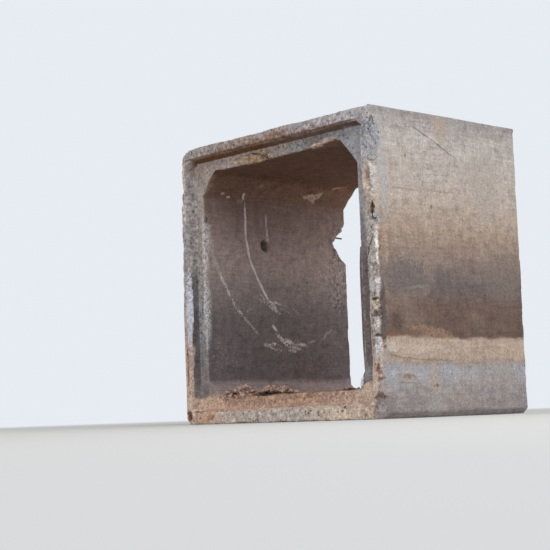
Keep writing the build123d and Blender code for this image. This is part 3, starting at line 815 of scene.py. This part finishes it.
class Tree:
    """A material's nodes, put in by one call each, with what a node reads always put in before it."""

    def __init__(self, name):
        self.material = bpy.data.materials.new(name)
        self.material.use_nodes = True
        self.nodes = self.material.node_tree.nodes
        self.links = self.material.node_tree.links
        self.surface = self.nodes["Principled BSDF"]
        self.place = self.node("TexCoord").outputs["Object"]

    def node(self, kind, **settings):
        """A new node of that kind."""
        made = self.nodes.new("ShaderNode" + kind)
        for name, value in settings.items():
            setattr(made, name, value)
        return made

    def feed(self, socket, value):
        """Links a socket to another, or sets it to a plain value."""
        if isinstance(value, bpy.types.NodeSocket):
            self.links.new(value, socket)
        elif isinstance(value, tuple) and len(value) == 3 and socket.type == "RGBA":
            socket.default_value = opaque(value)
        else:
            socket.default_value = value

    def math(self, operation, first, second=0.0):
        """One sum on two numbers."""
        made = self.node("Math", operation=operation)
        self.feed(made.inputs[0], first)
        self.feed(made.inputs[1], second)
        return made.outputs[0]

    def times(self, first, second):
        """The product of two numbers."""
        return self.math("MULTIPLY", first, second)

    def spread(self, value, low, high, at_low=0.0, at_high=1.0, easing="SMOOTHSTEP"):
        """Turns the range from low to high into another range. Eased, it is held there.

        The node's own clamp would be a hidden extra node, generated late.
        """
        made = self.node("MapRange", interpolation_type=easing, clamp=False)
        for socket, number in zip(made.inputs, (value, low, high, at_low, at_high)):
            self.feed(socket, number)
        return made.outputs[0]

    def mix(self, share, under, over, blend="MIX"):
        """Lays one colour over another."""
        made = self.node("Mix", data_type="RGBA", blend_type=blend)
        self.feed(made.inputs[0], share)
        self.feed(made.inputs[6], under)
        self.feed(made.inputs[7], over)
        return made.outputs[2]

    def noise(self, size, detail=2.0, roughness=0.5, place=None):
        """Noise with bumps about size metres apart."""
        made = self.node("TexNoise")
        self.feed(made.inputs["Vector"], place or self.place)
        made.inputs["Scale"].default_value = 1 / size
        made.inputs["Detail"].default_value = detail
        made.inputs["Roughness"].default_value = roughness
        return made.outputs

    def moved(self, place, turn=(0, 0, 0), centre=(0, 0, 0), reach=(1, 1, 1)):
        """Coordinates measured from a centre, turned, in units of reach."""
        made = self.node("Mapping", vector_type="TEXTURE")
        self.feed(made.inputs["Vector"], place)
        made.inputs["Location"].default_value = centre
        made.inputs["Rotation"].default_value = turn
        made.inputs["Scale"].default_value = reach
        return made.outputs[0]

    def warped(self, size, amount, detail=2.0):
        """Object coordinates pushed about by noise."""
        drift = self.noise(size, detail)["Color"]
        push = self.node("VectorMath", operation="MULTIPLY_ADD")
        self.feed(push.inputs[0], drift)
        push.inputs[1].default_value = (2 * amount,) * 3
        self.feed(push.inputs[2], self.place)
        return self.moved(push.outputs[0], centre=(amount,) * 3)

    def patch(self, place, centre, reach, turn=(0, 0, 0), soft=0.5, torn=None):
        """1 inside a soft-edged oval and 0 outside it. Torn, noise about 1, makes its edge ragged."""
        outer = 1 + soft
        offset = self.moved(place, turn, centre, [outer * size for size in reach])
        ball = self.node("TexGradient", gradient_type="SPHERICAL")
        self.feed(ball.inputs[0], offset)
        edge = soft / outer
        if torn is None:
            return self.spread(ball.outputs["Fac"], 0.0, 2 * edge)
        return self.spread(self.times(ball.outputs["Fac"], torn), 0.4 * edge, 1.6 * edge)

    def bands(self, value, stops):
        """Colours along a value, from (value, colour) pairs, where one number stands for a grey."""
        low, high = stops[0][0], stops[-1][0]
        share = self.spread(value, low, high, easing="LINEAR")
        ramp = self.node("ValToRGB")
        self.feed(ramp.inputs[0], share)
        elements = ramp.color_ramp.elements
        for stop, colour in stops[1:-1]:
            elements.new((stop - low) / (high - low)).color = opaque(colour)
        elements[0].color = opaque(stops[0][1])
        elements[-1].color = opaque(stops[-1][1])
        return ramp.outputs["Color"]

    def attribute(self, name):
        """A number stored with the mesh."""
        made = self.node("Attribute", attribute_name=name)
        return made.outputs["Fac"]

    def axes(self, place, span=1.4):
        """The x, y and z of coordinates up to span from the origin, read off gradients.

        A node that separates them would need a hidden converter, which is generated late and keeps
        every patch waiting.
        """
        found = {}
        quarter = math.pi / 2
        turns = {"X": (0, 0, 0), "Y": (0, 0, quarter), "Z": (0, -quarter, 0)}
        for index, (name, turn) in enumerate(turns.items()):
            start = [0.0, 0.0, 0.0]
            start[index] = -span
            offset = self.moved(place, turn, start, (2 * span, 1, 1))
            line = self.node("TexGradient", gradient_type="LINEAR")
            self.feed(line.inputs[0], offset)
            found[name] = self.spread(line.outputs["Fac"], 0.0, 1.0, -span, span, "LINEAR")
        return found

    def shade(self, colour, value, shades, share=1.0):
        """Makes a colour lighter or darker along a value, from (value, shade) pairs."""
        return self.mix(share, colour, self.bands(value, shades), "MULTIPLY")

    def finish(self, colour, roughness, specular=0.5):
        """Sets the surface's colour, its roughness and how much it reflects."""
        self.feed(self.surface.inputs["Base Color"], colour)
        self.surface.inputs["Roughness"].default_value = roughness
        self.surface.inputs["Specular IOR Level"].default_value = specular

    def bump(self, height, depth):
        """Relief of that depth in metres, on top of the relief there already."""
        made = self.node("Bump")
        made.inputs["Strength"].default_value = 1.0
        made.inputs["Distance"].default_value = depth
        self.feed(made.inputs["Height"], height)
        normal = self.surface.inputs["Normal"]
        if normal.is_linked:
            self.links.new(normal.links[0].from_socket, made.inputs["Normal"])
        self.links.new(made.outputs[0], normal)


# Where the colours round the socket change over: from left to right by x, to the top and to the bottom by z
TO_RIGHT, TO_TOP, TO_BOTTOM = (-0.05, 0.05), (1.160, 1.180), (0.135, 0.115)


def ring_colour(tree, axes, colours):
    """Colours round the socket, from its four sides' tables."""
    left, right, top, bottom = colours
    by_side = tree.spread(axes["X"], *TO_RIGHT)
    at_top = tree.spread(axes["Z"], *TO_TOP)
    at_bottom = tree.spread(axes["Z"], *TO_BOTTOM)
    sides = tree.mix(by_side, tree.bands(axes["Z"], left), tree.bands(axes["Z"], right))
    with_top = tree.mix(at_top, sides, tree.bands(axes["X"], top))
    return tree.mix(at_bottom, with_top, tree.bands(axes["X"], bottom))


def trail_share(tree, place, points, width):
    """1 along a thin line through the points, fading out at its ends. It lies on one flat face."""
    share = 0.0
    outwards = Vector((1, 0, 0)) if points[0][0] == points[1][0] else Vector((0, 1, 0))
    for start, end in zip(points, points[1:]):
        start, end = Vector(start), Vector(end)
        middle = (start + end) / 2
        length = (end - start).length
        way = (end - start).normalized()
        turn = Matrix((way, outwards, way.cross(outwards))).transposed().to_euler()
        reach = (length * 0.56, 0.03, width)
        share = tree.math("MAXIMUM", tree.patch(place, middle, reach, turn, 0.35), share)
    return share


def concrete_material():
    """The casting's concrete: bands of colour, stains, scratches, broken places, pits and grain, with
    painted light and shade in places.
    """
    tree = Tree("weathered_concrete")
    wide = tree.warped(0.11, 0.018, 3.0)
    near = tree.warped(0.022, 0.0045, 3.0)
    axes = tree.axes(wide)
    coarse = tree.attribute("coarse")
    torn = tree.spread(tree.noise(0.014, 4.0, 0.6)["Fac"], 0.3, 0.7, 0.15, 1.85, "LINEAR")
    speck = tree.noise(0.0065, 4.0, 0.65)["Fac"]
    fleck = tree.noise(0.009, 3.0, 0.75)["Fac"]
    pitted = tree.attribute("pitted")
    waterway = tree.attribute("waterway")

    colour = tree.bands(axes["Z"], SIDE_BANDS)
    drift = tree.noise(0.35, 4.0, 0.55)["Fac"]
    colour = tree.mix(tree.spread(drift, 0.45, 0.75, 0.0, 0.35), colour, (0.40, 0.32, 0.255))
    inner = tree.bands(axes["Z"], WATERWAY_BANDS)
    # Painted light: the waterway lighter towards its far end
    inner = tree.shade(inner, axes["Y"], WATERWAY_PAINTED_LIGHT)
    colour = tree.mix(waterway, colour, inner)
    for zone, colours in (("rebate", REBATE_COLOURS), ("shoulder", SHOULDER_COLOURS), ("rim", RIM_COLOURS)):
        colour = tree.mix(tree.attribute(zone), colour, ring_colour(tree, axes, colours))

    mottle = tree.noise(0.045, 5.0, 0.6)["Fac"]
    colour = tree.shade(colour, mottle, (
        (0.25, (0.72, 0.70, 0.69)), (0.42, (0.93, 0.92, 0.92)), (0.5, 1.0),
        (0.62, (1.10, 1.09, 1.07)), (0.75, (1.28, 1.26, 1.22)),
    ))

    upright = tree.noise(0.014, 3.0, 0.6, tree.moved(tree.place, reach=(1, 1, 9)))["Fac"]
    colour = tree.shade(colour, upright, (
        (0.28, 0.84), (0.5, 1.0), (0.72, 1.14),
    ), 0.5)
    level = tree.noise(0.010, 3.0, 0.6, tree.moved(tree.place, reach=(1, 9, 1)))["Fac"]
    colour = tree.shade(colour, level, (
        (0.28, (0.81, 0.80, 0.79)), (0.5, 1.0), (0.72, 1.18),
    ), 0.8)

    freshness = tree.noise(0.03, 4.0, 0.6)["Fac"]
    fresh = tree.bands(freshness, (
        (0.30, (0.26, 0.18, 0.13)), (0.45, (0.50, 0.41, 0.34)), (0.60, (0.58, 0.51, 0.46)),
        (0.72, (0.66, 0.60, 0.55)),
    ))
    inside = tree.times(waterway, 0.55)
    high = tree.spread(axes["Z"], 1.0, 1.12, 1.0, 0.35)
    shown = tree.times(tree.attribute("broken"), tree.math("SUBTRACT", 0.75, inside))
    shown = tree.times(shown, high)
    colour = tree.mix(shown, colour, fresh)

    for centre, reach, axis, degrees, stain_and_painted_light, strength, soft in PATCHES:
        turn = [0.0, 0.0, 0.0]
        turn[axis] = math.radians(degrees)
        share = tree.patch(near, centre, reach, turn, soft, torn)
        colour = tree.mix(tree.times(share, strength), colour, stain_and_painted_light)

    # Equal nodes would be merged and generated out of order, so each of these is made once
    worn = tree.spread(speck, 0.38, 0.48, 0.65, 1.0)
    gaps = {0.0: 1.0}
    for broken_up in sorted({trail[4] for trail in TRAILS} - {0.0}):
        least = 0.36 + 0.11 * broken_up
        gaps[broken_up] = tree.spread(fleck, least, least + 0.06)
    for points, width, stain_and_painted_light, strength, broken_up in TRAILS:
        share = trail_share(tree, near, points, width)
        share = tree.times(tree.times(share, worn), strength)
        colour = tree.mix(tree.times(share, gaps[broken_up]), colour, stain_and_painted_light)

    scattered = tree.spread(fleck, 0.56, 0.62)
    for centre, reach, strength in SCUFFS:
        share = tree.times(tree.patch(wide, centre, reach, soft=0.6), scattered)
        colour = tree.mix(tree.times(share, strength), colour, (0.74, 0.67, 0.64))

    crumb = tree.noise(0.013, 4.0, 0.65)["Fac"]
    colour = tree.shade(colour, crumb, (
        (0.28, (0.42, 0.40, 0.39)), (0.42, (0.86, 0.85, 0.84)), (0.52, 1.02),
        (0.62, 1.18), (0.74, 1.55),
    ), coarse)

    lumps = tree.noise(0.020, 5.0, 0.65)["Fac"]
    colour = tree.shade(colour, lumps, (
        (0.34, (0.50, 0.48, 0.47)), (0.44, (0.86, 0.85, 0.84)), (0.54, 1.04),
        (0.66, 1.36),
    ), pitted)

    cells = tree.node("TexVoronoi")
    tree.feed(cells.inputs["Vector"], tree.place)
    cells.inputs["Scale"].default_value = 1 / 0.016
    parts = tree.node("SeparateXYZ")
    tree.feed(parts.inputs[0], cells.outputs["Color"])
    chance = parts.outputs["X"]
    from_pitted = tree.times(pitted, 0.34)
    likely = tree.math("ADD", tree.times(coarse, 0.12), from_pitted)
    pits = tree.times(tree.spread(cells.outputs["Distance"], 0.32, 0.16), tree.spread(
        tree.math("ADD", chance, likely), 1.02, 1.06))
    colour = tree.mix(tree.times(pits, 0.7), colour, (0.09, 0.07, 0.06))

    grain = tree.noise(0.0055, 3.0, 0.7)["Fac"]
    colour = tree.shade(colour, grain, (
        (0.28, (0.66, 0.65, 0.64)), (0.5, 1.0), (0.72, 1.36),
    ))
    tree.finish(colour, roughness=0.93, specular=0.25)
    tree.bump(mottle, 0.004)
    tree.bump(tree.times(crumb, coarse), 0.006)
    tree.bump(grain, 0.0016)
    tree.bump(tree.times(pits, -1.0), 0.003)
    return tree.material


def soil_material(name, dark, light):
    """Crumbly soil between two colours, with painted shadow under the clods."""
    tree = Tree(name)
    lumps = tree.noise(0.02, 5.0, 0.65)["Fac"]
    grain = tree.noise(0.005, 3.0, 0.7)["Fac"]
    middle = tuple((low + high) / 2 for low, high in zip(dark, light))
    colour = tree.bands(lumps, ((0.36, dark), (0.5, middle), (0.62, light)))
    # Painted shadow under the clods
    for centre, reach in CLOD_SHADOW_PLACES:
        share = tree.patch(tree.place, centre, reach, soft=0.5)
        colour = tree.mix(tree.times(share, 0.85), colour, (0.05, 0.03, 0.022))
    colour = tree.shade(colour, grain, (
        (0.28, (0.55, 0.53, 0.52)), (0.5, 1.0), (0.72, 1.5),
    ))
    tree.finish(colour, roughness=0.96, specular=0.15)
    tree.bump(lumps, 0.006)
    tree.bump(grain, 0.002)
    return tree.material


def rust_material():
    """Rusted steel."""
    tree = Tree("rusted_steel")
    scale = tree.noise(0.006, 4.0, 0.6)["Fac"]
    tree.finish(tree.bands(scale, (
        (0.3, (0.07, 0.03, 0.018)), (0.55, (0.20, 0.085, 0.04)), (0.7, (0.30, 0.15, 0.08)),
    )), roughness=0.85)
    tree.bump(scale, 0.0008)
    return tree.material


def mesh_of(name, material):
    """An empty mesh object of that name and material, linked to the scene."""
    mesh = bpy.data.meshes.new(name)
    mesh.materials.append(material)
    piece = bpy.data.objects.new(name, mesh)
    bpy.context.scene.collection.objects.link(piece)
    return piece


def fill(piece, shape, smooth=True):
    """Turns a bmesh into the piece's mesh."""
    shape.to_mesh(piece.data)
    shape.free()
    if smooth:
        piece.data.shade_smooth()
    return piece


def finish_piece(piece):
    """Puts a finished piece on the casting's body."""
    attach(piece, "root")


def apply_modifiers(piece):
    """Turns the piece's modifiers into its mesh."""
    graph = bpy.context.evaluated_depsgraph_get()
    made = bpy.data.meshes.new_from_object(piece.evaluated_get(graph))
    made.name = piece.name
    piece.modifiers.clear()
    piece.data = made


def vertex_vectors(mesh, name):
    """The mesh's vertex places, co, or normals, normal, as an array."""
    flat = np.empty(len(mesh.vertices) * 3)
    mesh.vertices.foreach_get(name, flat)
    return flat.reshape(-1, 3)


def store(mesh, name, values):
    """Stores one number for each vertex."""
    layer = mesh.attributes.new(name, "FLOAT", "POINT")
    layer.data.foreach_set("value", values.astype(np.float32))


def smooth_by_angle(mesh, angle):
    """Smooth shading, with edges sharper than angle left sharp."""
    shape = bmesh.new()
    shape.from_mesh(mesh)
    for face in shape.faces:
        face.smooth = True
    for edge in shape.edges:
        edge.smooth = len(edge.link_faces) == 2 and edge.calc_face_angle(0.0) < angle
    shape.to_mesh(mesh)
    shape.free()


class CastingSettings(bpy.types.PropertyGroup):
    """Sizes of the worn casting's mesh."""

    cell: FloatProperty(
        name="Mesh cell", description="Spacing of the fine mesh before it is thinned",
        default=0.0055, min=0.003, max=0.02, unit="LENGTH",
    )
    triangles: IntProperty(
        name="Triangles", description="Triangles kept in the worn casting",
        default=190000, min=20000,
    )
    crease_angle: FloatProperty(
        name="Sharp edge", description="Edges that turn by more than this stay sharp",
        default=math.radians(38), subtype="ANGLE",
    )


class SoilSettings(bpy.types.PropertyGroup):
    """The soil left in the waterway's mouth."""

    dark: FloatVectorProperty(
        name="Damp soil", description="Darkest colour of the soil",
        default=(0.20, 0.10, 0.065), subtype="COLOR",
    )
    light: FloatVectorProperty(
        name="Dry soil", description="Lightest colour of the soil",
        default=(0.56, 0.37, 0.27), subtype="COLOR",
    )
    clod_dark: FloatVectorProperty(
        name="Damp clods", description="Darkest colour of the clods",
        default=(0.20, 0.115, 0.085), subtype="COLOR",
    )
    clod_light: FloatVectorProperty(
        name="Dry clods", description="Lightest colour of the clods",
        default=(0.74, 0.525, 0.44), subtype="COLOR",
    )
    mound_dark: FloatVectorProperty(
        name="Mound", description="Darkest colour of the packed mound",
        default=(0.58, 0.43, 0.34), subtype="COLOR",
    )
    mound_light: FloatVectorProperty(
        name="Dry mound", description="Lightest colour of the packed mound",
        default=(0.80, 0.61, 0.49), subtype="COLOR",
    )
    bed_depth: FloatProperty(
        name="Bed depth", description="Depth of the soil bed at its deepest", default=0.024, unit="LENGTH",
    )
    seed: IntProperty(name="Seed", description="Start of the random draws", default=7)


class StageSettings(bpy.types.PropertyGroup):
    """The floor, the lamps and the camera."""

    floor_colour: FloatVectorProperty(
        name="Floor", description="Colour of the floor",
        default=(0.66, 0.66, 0.65), subtype="COLOR",
    )
    floor_size: FloatProperty(
        name="Floor size", description="Side of the square floor", default=160.0, unit="LENGTH",
    )
    backdrop_colour: FloatVectorProperty(
        name="Backdrop", description="Colour seen behind the unit",
        default=(0.80, 0.84, 0.89), subtype="COLOR",
    )
    sky_strength: FloatProperty(
        name="Sky", description="Strength of the even light from all round",
        default=0.70,
    )
    key_power: FloatProperty(
        name="Key lamp", description="Power of the large lamp on the right", default=170.0, unit="POWER",
    )
    camera_azimuth: FloatProperty(
        name="Azimuth", description="Camera direction round the unit, from the socket's side",
        default=math.radians(47.8106), subtype="ANGLE",
    )
    camera_elevation: FloatProperty(
        name="Elevation", description="Camera direction above the horizon",
        default=math.radians(-5.75034), subtype="ANGLE",
    )
    camera_roll: FloatProperty(
        name="Roll", description="Turn of the camera about its own axis",
        default=math.radians(-2.04144), subtype="ANGLE",
    )
    camera_distance: FloatProperty(
        name="Distance", description="From the camera to its target",
        default=6.28854, unit="LENGTH",
    )
    camera_target: FloatVectorProperty(
        name="Target", description="The point that the camera looks at",
        default=(-0.17983, SOCKET_FACE, 0.66508), subtype="XYZ",
    )
    camera_lens: FloatProperty(
        name="Lens", description="Focal length on a 36 mm sensor",
        default=91.2117, unit="CAMERA",
    )
    camera_shift: FloatProperty(
        name="Shift", description="Sideways shift that brings the whole unit into the picture",
        default=30 / 550,
    )


class CULVERT_OT_casting(bpy.types.Operator):
    """Makes the worn casting from a fine copy of the frame's node"""

    bl_idname = "culvert.casting"
    bl_label = "Worn casting"

    def execute(self, context):
        settings = context.scene.culvert_casting
        piece = mesh_of("worn_casting", concrete_material())
        shape = bmesh.new()
        shape.from_mesh(frame["nodes"][NODE].data)
        bmesh.ops.remove_doubles(shape, verts=shape.verts, dist=1e-5)
        fill(piece, shape, smooth=False)
        remesh = piece.modifiers.new("even cells", "REMESH")
        remesh.mode = "VOXEL"
        remesh.voxel_size = settings.cell
        apply_modifiers(piece)

        skin = Skin(vertex_vectors(piece.data, "co"), vertex_vectors(piece.data, "normal"))
        zones = ring_zones(skin.points)
        skin.wear()
        piece.data.vertices.foreach_set("co", skin.points.ravel())
        for name, values in (*zones.items(), ("broken", skin.broken), ("pitted", skin.pitted)):
            store(piece.data, name, values)
        thin = piece.modifiers.new("fewer triangles", "DECIMATE")
        thin.ratio = min(1.0, settings.triangles / (2 * len(piece.data.polygons)))
        apply_modifiers(piece)
        held = np.clip(vertex_vectors(piece.data, "co"), np.array(LOW), np.array(HIGH))
        piece.data.vertices.foreach_set("co", held.ravel())
        smooth_by_angle(piece.data, settings.crease_angle)
        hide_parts(NODE)
        finish_piece(piece)
        return {"FINISHED"}


# The bed's depth by x, as a share of its deepest
BED_DEPTHS = (
    (-0.42, 0.5), (-0.36, 1.0), (-0.22, 1.0), (-0.17, 0.3), (-0.06, 0.3), (0.0, 0.5), (0.08, 0.2),
    (0.42, 0.3),
)

# The bed's width and length, its thinnest layer, and how far its sheet and its foot lie under the floor
BED_WIDTH, BED_LENGTH = 0.84, 0.36
BED_LEAST, BED_SUNK, BED_FOOT = 0.003, 0.004, 0.002

# Heaps of clods: from x, to x, height, how far they spread back, largest radius and count
HEAPS = (
    (-0.420, -0.265, 0.036, 0.05, 0.0155, 52), (-0.290, -0.190, 0.040, 0.05, 0.0125, 40),
    (-0.185, 0.050, 0.028, 0.05, 0.0145, 60), (-0.160, -0.060, 0.032, 0.05, 0.0135, 20),
    (0.350, 0.425, 0.008, 0.05, 0.0075, 14), (-0.425, -0.270, -0.017, 0.0, 0.0105, 34),
    (-0.270, -0.190, -0.012, 0.0, 0.0085, 16),
)

# Soil packed into the socket's lower right corner: centre, reach, and turn about y in degrees
MOUND = ((0.542, -0.475, 0.106), (0.052, 0.019, 0.050), -25)


def bed_height(x, y):
    """How deep the soil bed is over the waterway's floor, as a share of its depth."""
    rise, fall, end, lump_size, grain_size = 0.02, 0.25, -0.12, 0.05, 0.02
    back = min(max((y - SHOULDER) / rise, 0.0), 1.0) * min(max((end - y) / fall, 0.0), 1.0)
    lumps = noise.noise(Vector((x / lump_size, y / lump_size, 3.0)))
    lumps += 0.5 * noise.noise(Vector((x / grain_size, y / grain_size, 9.0)))
    return back * (0.7 + 0.45 * lumps) * float(along(x, BED_DEPTHS))


class CULVERT_OT_soil(bpy.types.Operator):
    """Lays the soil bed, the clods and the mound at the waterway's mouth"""

    bl_idname = "culvert.soil"
    bl_label = "Soil"

    def execute(self, context):
        settings = context.scene.culvert_soil
        soil = soil_material("reddish_soil", tuple(settings.dark), tuple(settings.light))
        finish_piece(self.bed(settings, soil))
        clod_soil = soil_material("clod_soil", tuple(settings.clod_dark), tuple(settings.clod_light))
        finish_piece(self.clods(settings, clod_soil))
        mound_soil = soil_material("mound_soil", tuple(settings.mound_dark), tuple(settings.mound_light))
        finish_piece(self.mound(mound_soil))
        return {"FINISHED"}

    def bed(self, settings, material):
        """A thin uneven layer on the waterway's floor, deepest near the mouth."""
        piece = mesh_of("soil_bed", material)
        floor = WALL - BED_SUNK
        middle = SHOULDER + 0.004 + BED_LENGTH / 2
        shape = bmesh.new()
        bmesh.ops.create_grid(shape, x_segments=140, y_segments=60, size=0.5)
        bmesh.ops.scale(shape, vec=(BED_WIDTH, BED_LENGTH, 1), verts=shape.verts)
        bmesh.ops.translate(shape, vec=(0, middle, floor), verts=shape.verts)
        for vertex in shape.verts:
            vertex.co.z += BED_LEAST + settings.bed_depth * bed_height(vertex.co.x, vertex.co.y)
        rim = [edge for edge in shape.edges if edge.is_boundary]
        skirt = bmesh.ops.extrude_edge_only(shape, edges=rim)["geom"]
        low = [item for item in skirt if isinstance(item, bmesh.types.BMVert)]
        for vertex in low:
            vertex.co.z = floor - BED_FOOT
        bmesh.ops.holes_fill(shape, edges=[edge for edge in shape.edges if edge.is_boundary], sides=0)
        bmesh.ops.recalc_face_normals(shape, faces=shape.faces)
        return fill(piece, shape)

    def mound(self, material):
        """Soil packed into the socket's lower right corner."""
        piece = mesh_of("soil_mound", material)
        centre, reach, degrees = MOUND
        shape = bmesh.new()
        bmesh.ops.create_icosphere(shape, subdivisions=5, radius=1.0)
        for vertex in shape.verts:
            lump = noise.fractal(vertex.co * 1.5, 0.9, 2.0, 4)
            vertex.co = Vector(a * b for a, b in zip(vertex.co, reach)) * (1 + 0.15 * lump)
        bmesh.ops.rotate(shape, verts=shape.verts, matrix=Matrix.Rotation(math.radians(degrees), 3, "Y"))
        bmesh.ops.translate(shape, vec=centre, verts=shape.verts)
        return fill(piece, shape)

    def clods(self, settings, material):
        """Crumbly clods in heaps at the mouth, all in one mesh."""
        piece = mesh_of("soil_clods", material)
        draw = np.random.RandomState(settings.seed)
        shape = bmesh.new()
        for left, right, height, spread, largest, count in HEAPS:
            for _ in range(count):
                aside = draw.uniform(-1, 1)
                radius = largest * draw.uniform(0.3, 1.0)
                x = (left + right) / 2 + aside * (right - left) / 2
                y = SHOULDER + 0.3 * radius + spread * draw.uniform(0, 1)
                z = WALL + 0.3 * radius + height * (1 - aside**2) * draw.uniform(0, 1)
                self.clod(shape, Vector((x, y, z)), radius, draw)
        return fill(piece, shape)

    def clod(self, shape, centre, radius, draw):
        """One lumpy clod, a little flat."""
        made = bmesh.ops.create_icosphere(shape, subdivisions=2, radius=radius)["verts"]
        stretch = Vector(draw.uniform(0.75, 1.25, 3))
        offset = Vector(draw.uniform(0, 50, 3))
        for vertex in made:
            lump = noise.fractal(vertex.co / radius * 0.9 + offset, 0.9, 2.0, 4)
            vertex.co = Vector(a * b for a, b in zip(vertex.co, stretch)) * (1 + 0.45 * lump)
            vertex.co.z *= 0.8
        bmesh.ops.translate(shape, vec=centre, verts=made)


# The rebar stub's middle, its length, its radius at each end and its tilt about x in degrees
STUB_PLACE = (-0.522, 0.456, 0.930)
STUB_LENGTH = 0.075
STUB_RADII = (0.0045, 0.004)
STUB_TILT = -93


class CULVERT_OT_rebar(bpy.types.Operator):
    """Makes the end of reinforcement that shows in the broken edge at the far end"""

    bl_idname = "culvert.rebar"
    bl_label = "Rebar stub"

    def execute(self, context):
        piece = mesh_of("rebar_stub", rust_material())
        shape = bmesh.new()
        bmesh.ops.create_cone(
            shape, cap_ends=True, segments=12,
            radius1=STUB_RADII[0], radius2=STUB_RADII[1], depth=STUB_LENGTH,
            matrix=Matrix.Translation(STUB_PLACE) @ Matrix.Rotation(math.radians(STUB_TILT), 4, "X"),
        )
        finish_piece(fill(piece, shape))
        return {"FINISHED"}


# The key lamp's place and size, and where the floor starts and ends turning into the backdrop
LAMP_PLACE = (5.0, -1.5, 4.5)
LAMP_SIZE = 4.0
FADE_START, FADE_END = 3.0, 11.0


def seen_share(nodes, links):
    """1 for rays that show the backdrop itself: camera, mirror and glass rays."""
    rays = nodes.new("ShaderNodeLightPath")
    total = rays.outputs["Is Camera Ray"]
    for name in ("Is Glossy Ray", "Is Transmission Ray"):
        added = nodes.new("ShaderNodeMath")
        added.operation = "MAXIMUM"
        links.new(total, added.inputs[0])
        links.new(rays.outputs[name], added.inputs[1])
        total = added.outputs[0]
    return total


class CULVERT_OT_stage(bpy.types.Operator):
    """Makes the pale floor, the soft light and the camera"""

    bl_idname = "culvert.stage"
    bl_label = "Stage"

    def execute(self, context):
        settings = context.scene.culvert_stage
        self.floor(settings)
        self.world(settings, context.scene)
        self.lamps(settings)
        self.camera(settings, context.scene)
        context.scene.view_settings.view_transform = "Standard"
        return {"FINISHED"}

    def floor(self, settings):
        """One large pale square under the unit, which turns into the backdrop far away."""
        tree = Tree("floor")
        tree.finish(tuple(settings.floor_colour), roughness=0.95, specular=0.1)
        length = tree.node("VectorMath", operation="LENGTH")
        tree.feed(length.inputs[0], tree.place)
        far = tree.spread(length.outputs["Value"], FADE_START, FADE_END)
        seen = tree.times(far, seen_share(tree.nodes, tree.links))
        glow = tree.node("Emission")
        glow.inputs["Color"].default_value = (*settings.backdrop_colour, 1)
        both = tree.node("MixShader")
        tree.feed(both.inputs[0], seen)
        tree.feed(both.inputs[1], tree.surface.outputs[0])
        tree.feed(both.inputs[2], glow.outputs[0])
        tree.feed(tree.nodes["Material Output"].inputs["Surface"], both.outputs[0])
        piece = mesh_of("floor", tree.material)
        shape = bmesh.new()
        bmesh.ops.create_grid(shape, x_segments=1, y_segments=1, size=settings.floor_size / 2)
        fill(piece, shape, smooth=False)

    def world(self, settings, scene):
        """Even light from all round, with the backdrop's colour where the camera sees it."""
        scene.world = bpy.data.worlds.new("sky")
        scene.world.use_nodes = True
        tree = scene.world.node_tree
        light = tree.nodes["Background"]
        light.inputs["Color"].default_value = (1, 1, 1, 1)
        light.inputs["Strength"].default_value = settings.sky_strength
        seen = tree.nodes.new("ShaderNodeBackground")
        seen.inputs["Color"].default_value = (*settings.backdrop_colour, 1)
        mix = tree.nodes.new("ShaderNodeMixShader")
        tree.links.new(seen_share(tree.nodes, tree.links), mix.inputs["Fac"])
        tree.links.new(light.outputs["Background"], mix.inputs[1])
        tree.links.new(seen.outputs["Background"], mix.inputs[2])
        tree.links.new(mix.outputs["Shader"], tree.nodes["World Output"].inputs["Surface"])

    def lamps(self, settings):
        """One large soft lamp, high on the right."""
        target = Vector((0.0, 0.0, MID_HEIGHT))
        lamp = bpy.data.lights.new("key", "AREA")
        lamp.energy = settings.key_power
        lamp.size = LAMP_SIZE
        holder = bpy.data.objects.new("key", lamp)
        holder.location = LAMP_PLACE
        holder.rotation_euler = (target - holder.location).to_track_quat("-Z", "Y").to_euler()
        bpy.context.scene.collection.objects.link(holder)

    def camera(self, settings, scene):
        """The camera at the photograph's place, low and on the right."""
        azimuth, elevation = settings.camera_azimuth, settings.camera_elevation
        back = Vector((
            math.sin(azimuth) * math.cos(elevation),
            -math.cos(azimuth) * math.cos(elevation),
            math.sin(elevation),
        ))
        lens = bpy.data.cameras.new("camera")
        lens.sensor_width = 36.0
        lens.lens = settings.camera_lens
        lens.shift_x = settings.camera_shift
        lens.clip_end = settings.floor_size * 2
        holder = bpy.data.objects.new("camera", lens)
        holder.location = Vector(settings.camera_target) + settings.camera_distance * back
        level = (-back).to_track_quat("-Z", "Y")
        holder.rotation_euler = (level @ Quaternion((0, 0, 1), settings.camera_roll)).to_euler()
        scene.collection.objects.link(holder)
        scene.camera = holder


class CULVERT_PT_panel(bpy.types.Panel):
    """Lists the culvert's operators and their settings"""

    bl_idname = "CULVERT_PT_panel"
    bl_label = "Box culvert"
    bl_space_type = "VIEW_3D"
    bl_region_type = "UI"
    bl_category = "Culvert"

    def draw(self, context):
        for operator in OPERATORS:
            self.layout.operator(operator.bl_idname)
        for name in GROUPS:
            group = getattr(context.scene, name)
            for key in group.bl_rna.properties.keys():
                if key not in ("rna_type", "name"):
                    self.layout.prop(group, key)


GROUPS = {"culvert_casting": CastingSettings, "culvert_soil": SoilSettings, "culvert_stage": StageSettings}
OPERATORS = (CULVERT_OT_casting, CULVERT_OT_soil, CULVERT_OT_rebar, CULVERT_OT_stage)
CLASSES = (*GROUPS.values(), *OPERATORS, CULVERT_PT_panel)


def register():
    for each in CLASSES:
        bpy.utils.register_class(each)
    for name, group in GROUPS.items():
        setattr(bpy.types.Scene, name, PointerProperty(type=group))


def unregister():
    for name in GROUPS:
        delattr(bpy.types.Scene, name)
    for each in reversed(CLASSES):
        bpy.utils.unregister_class(each)


def main():
    """Builds every piece and the stage."""
    register()
    bpy.ops.culvert.casting()
    bpy.ops.culvert.soil()
    bpy.ops.culvert.rebar()
    bpy.ops.culvert.stage()


if __name__ == "__main__":
    main()
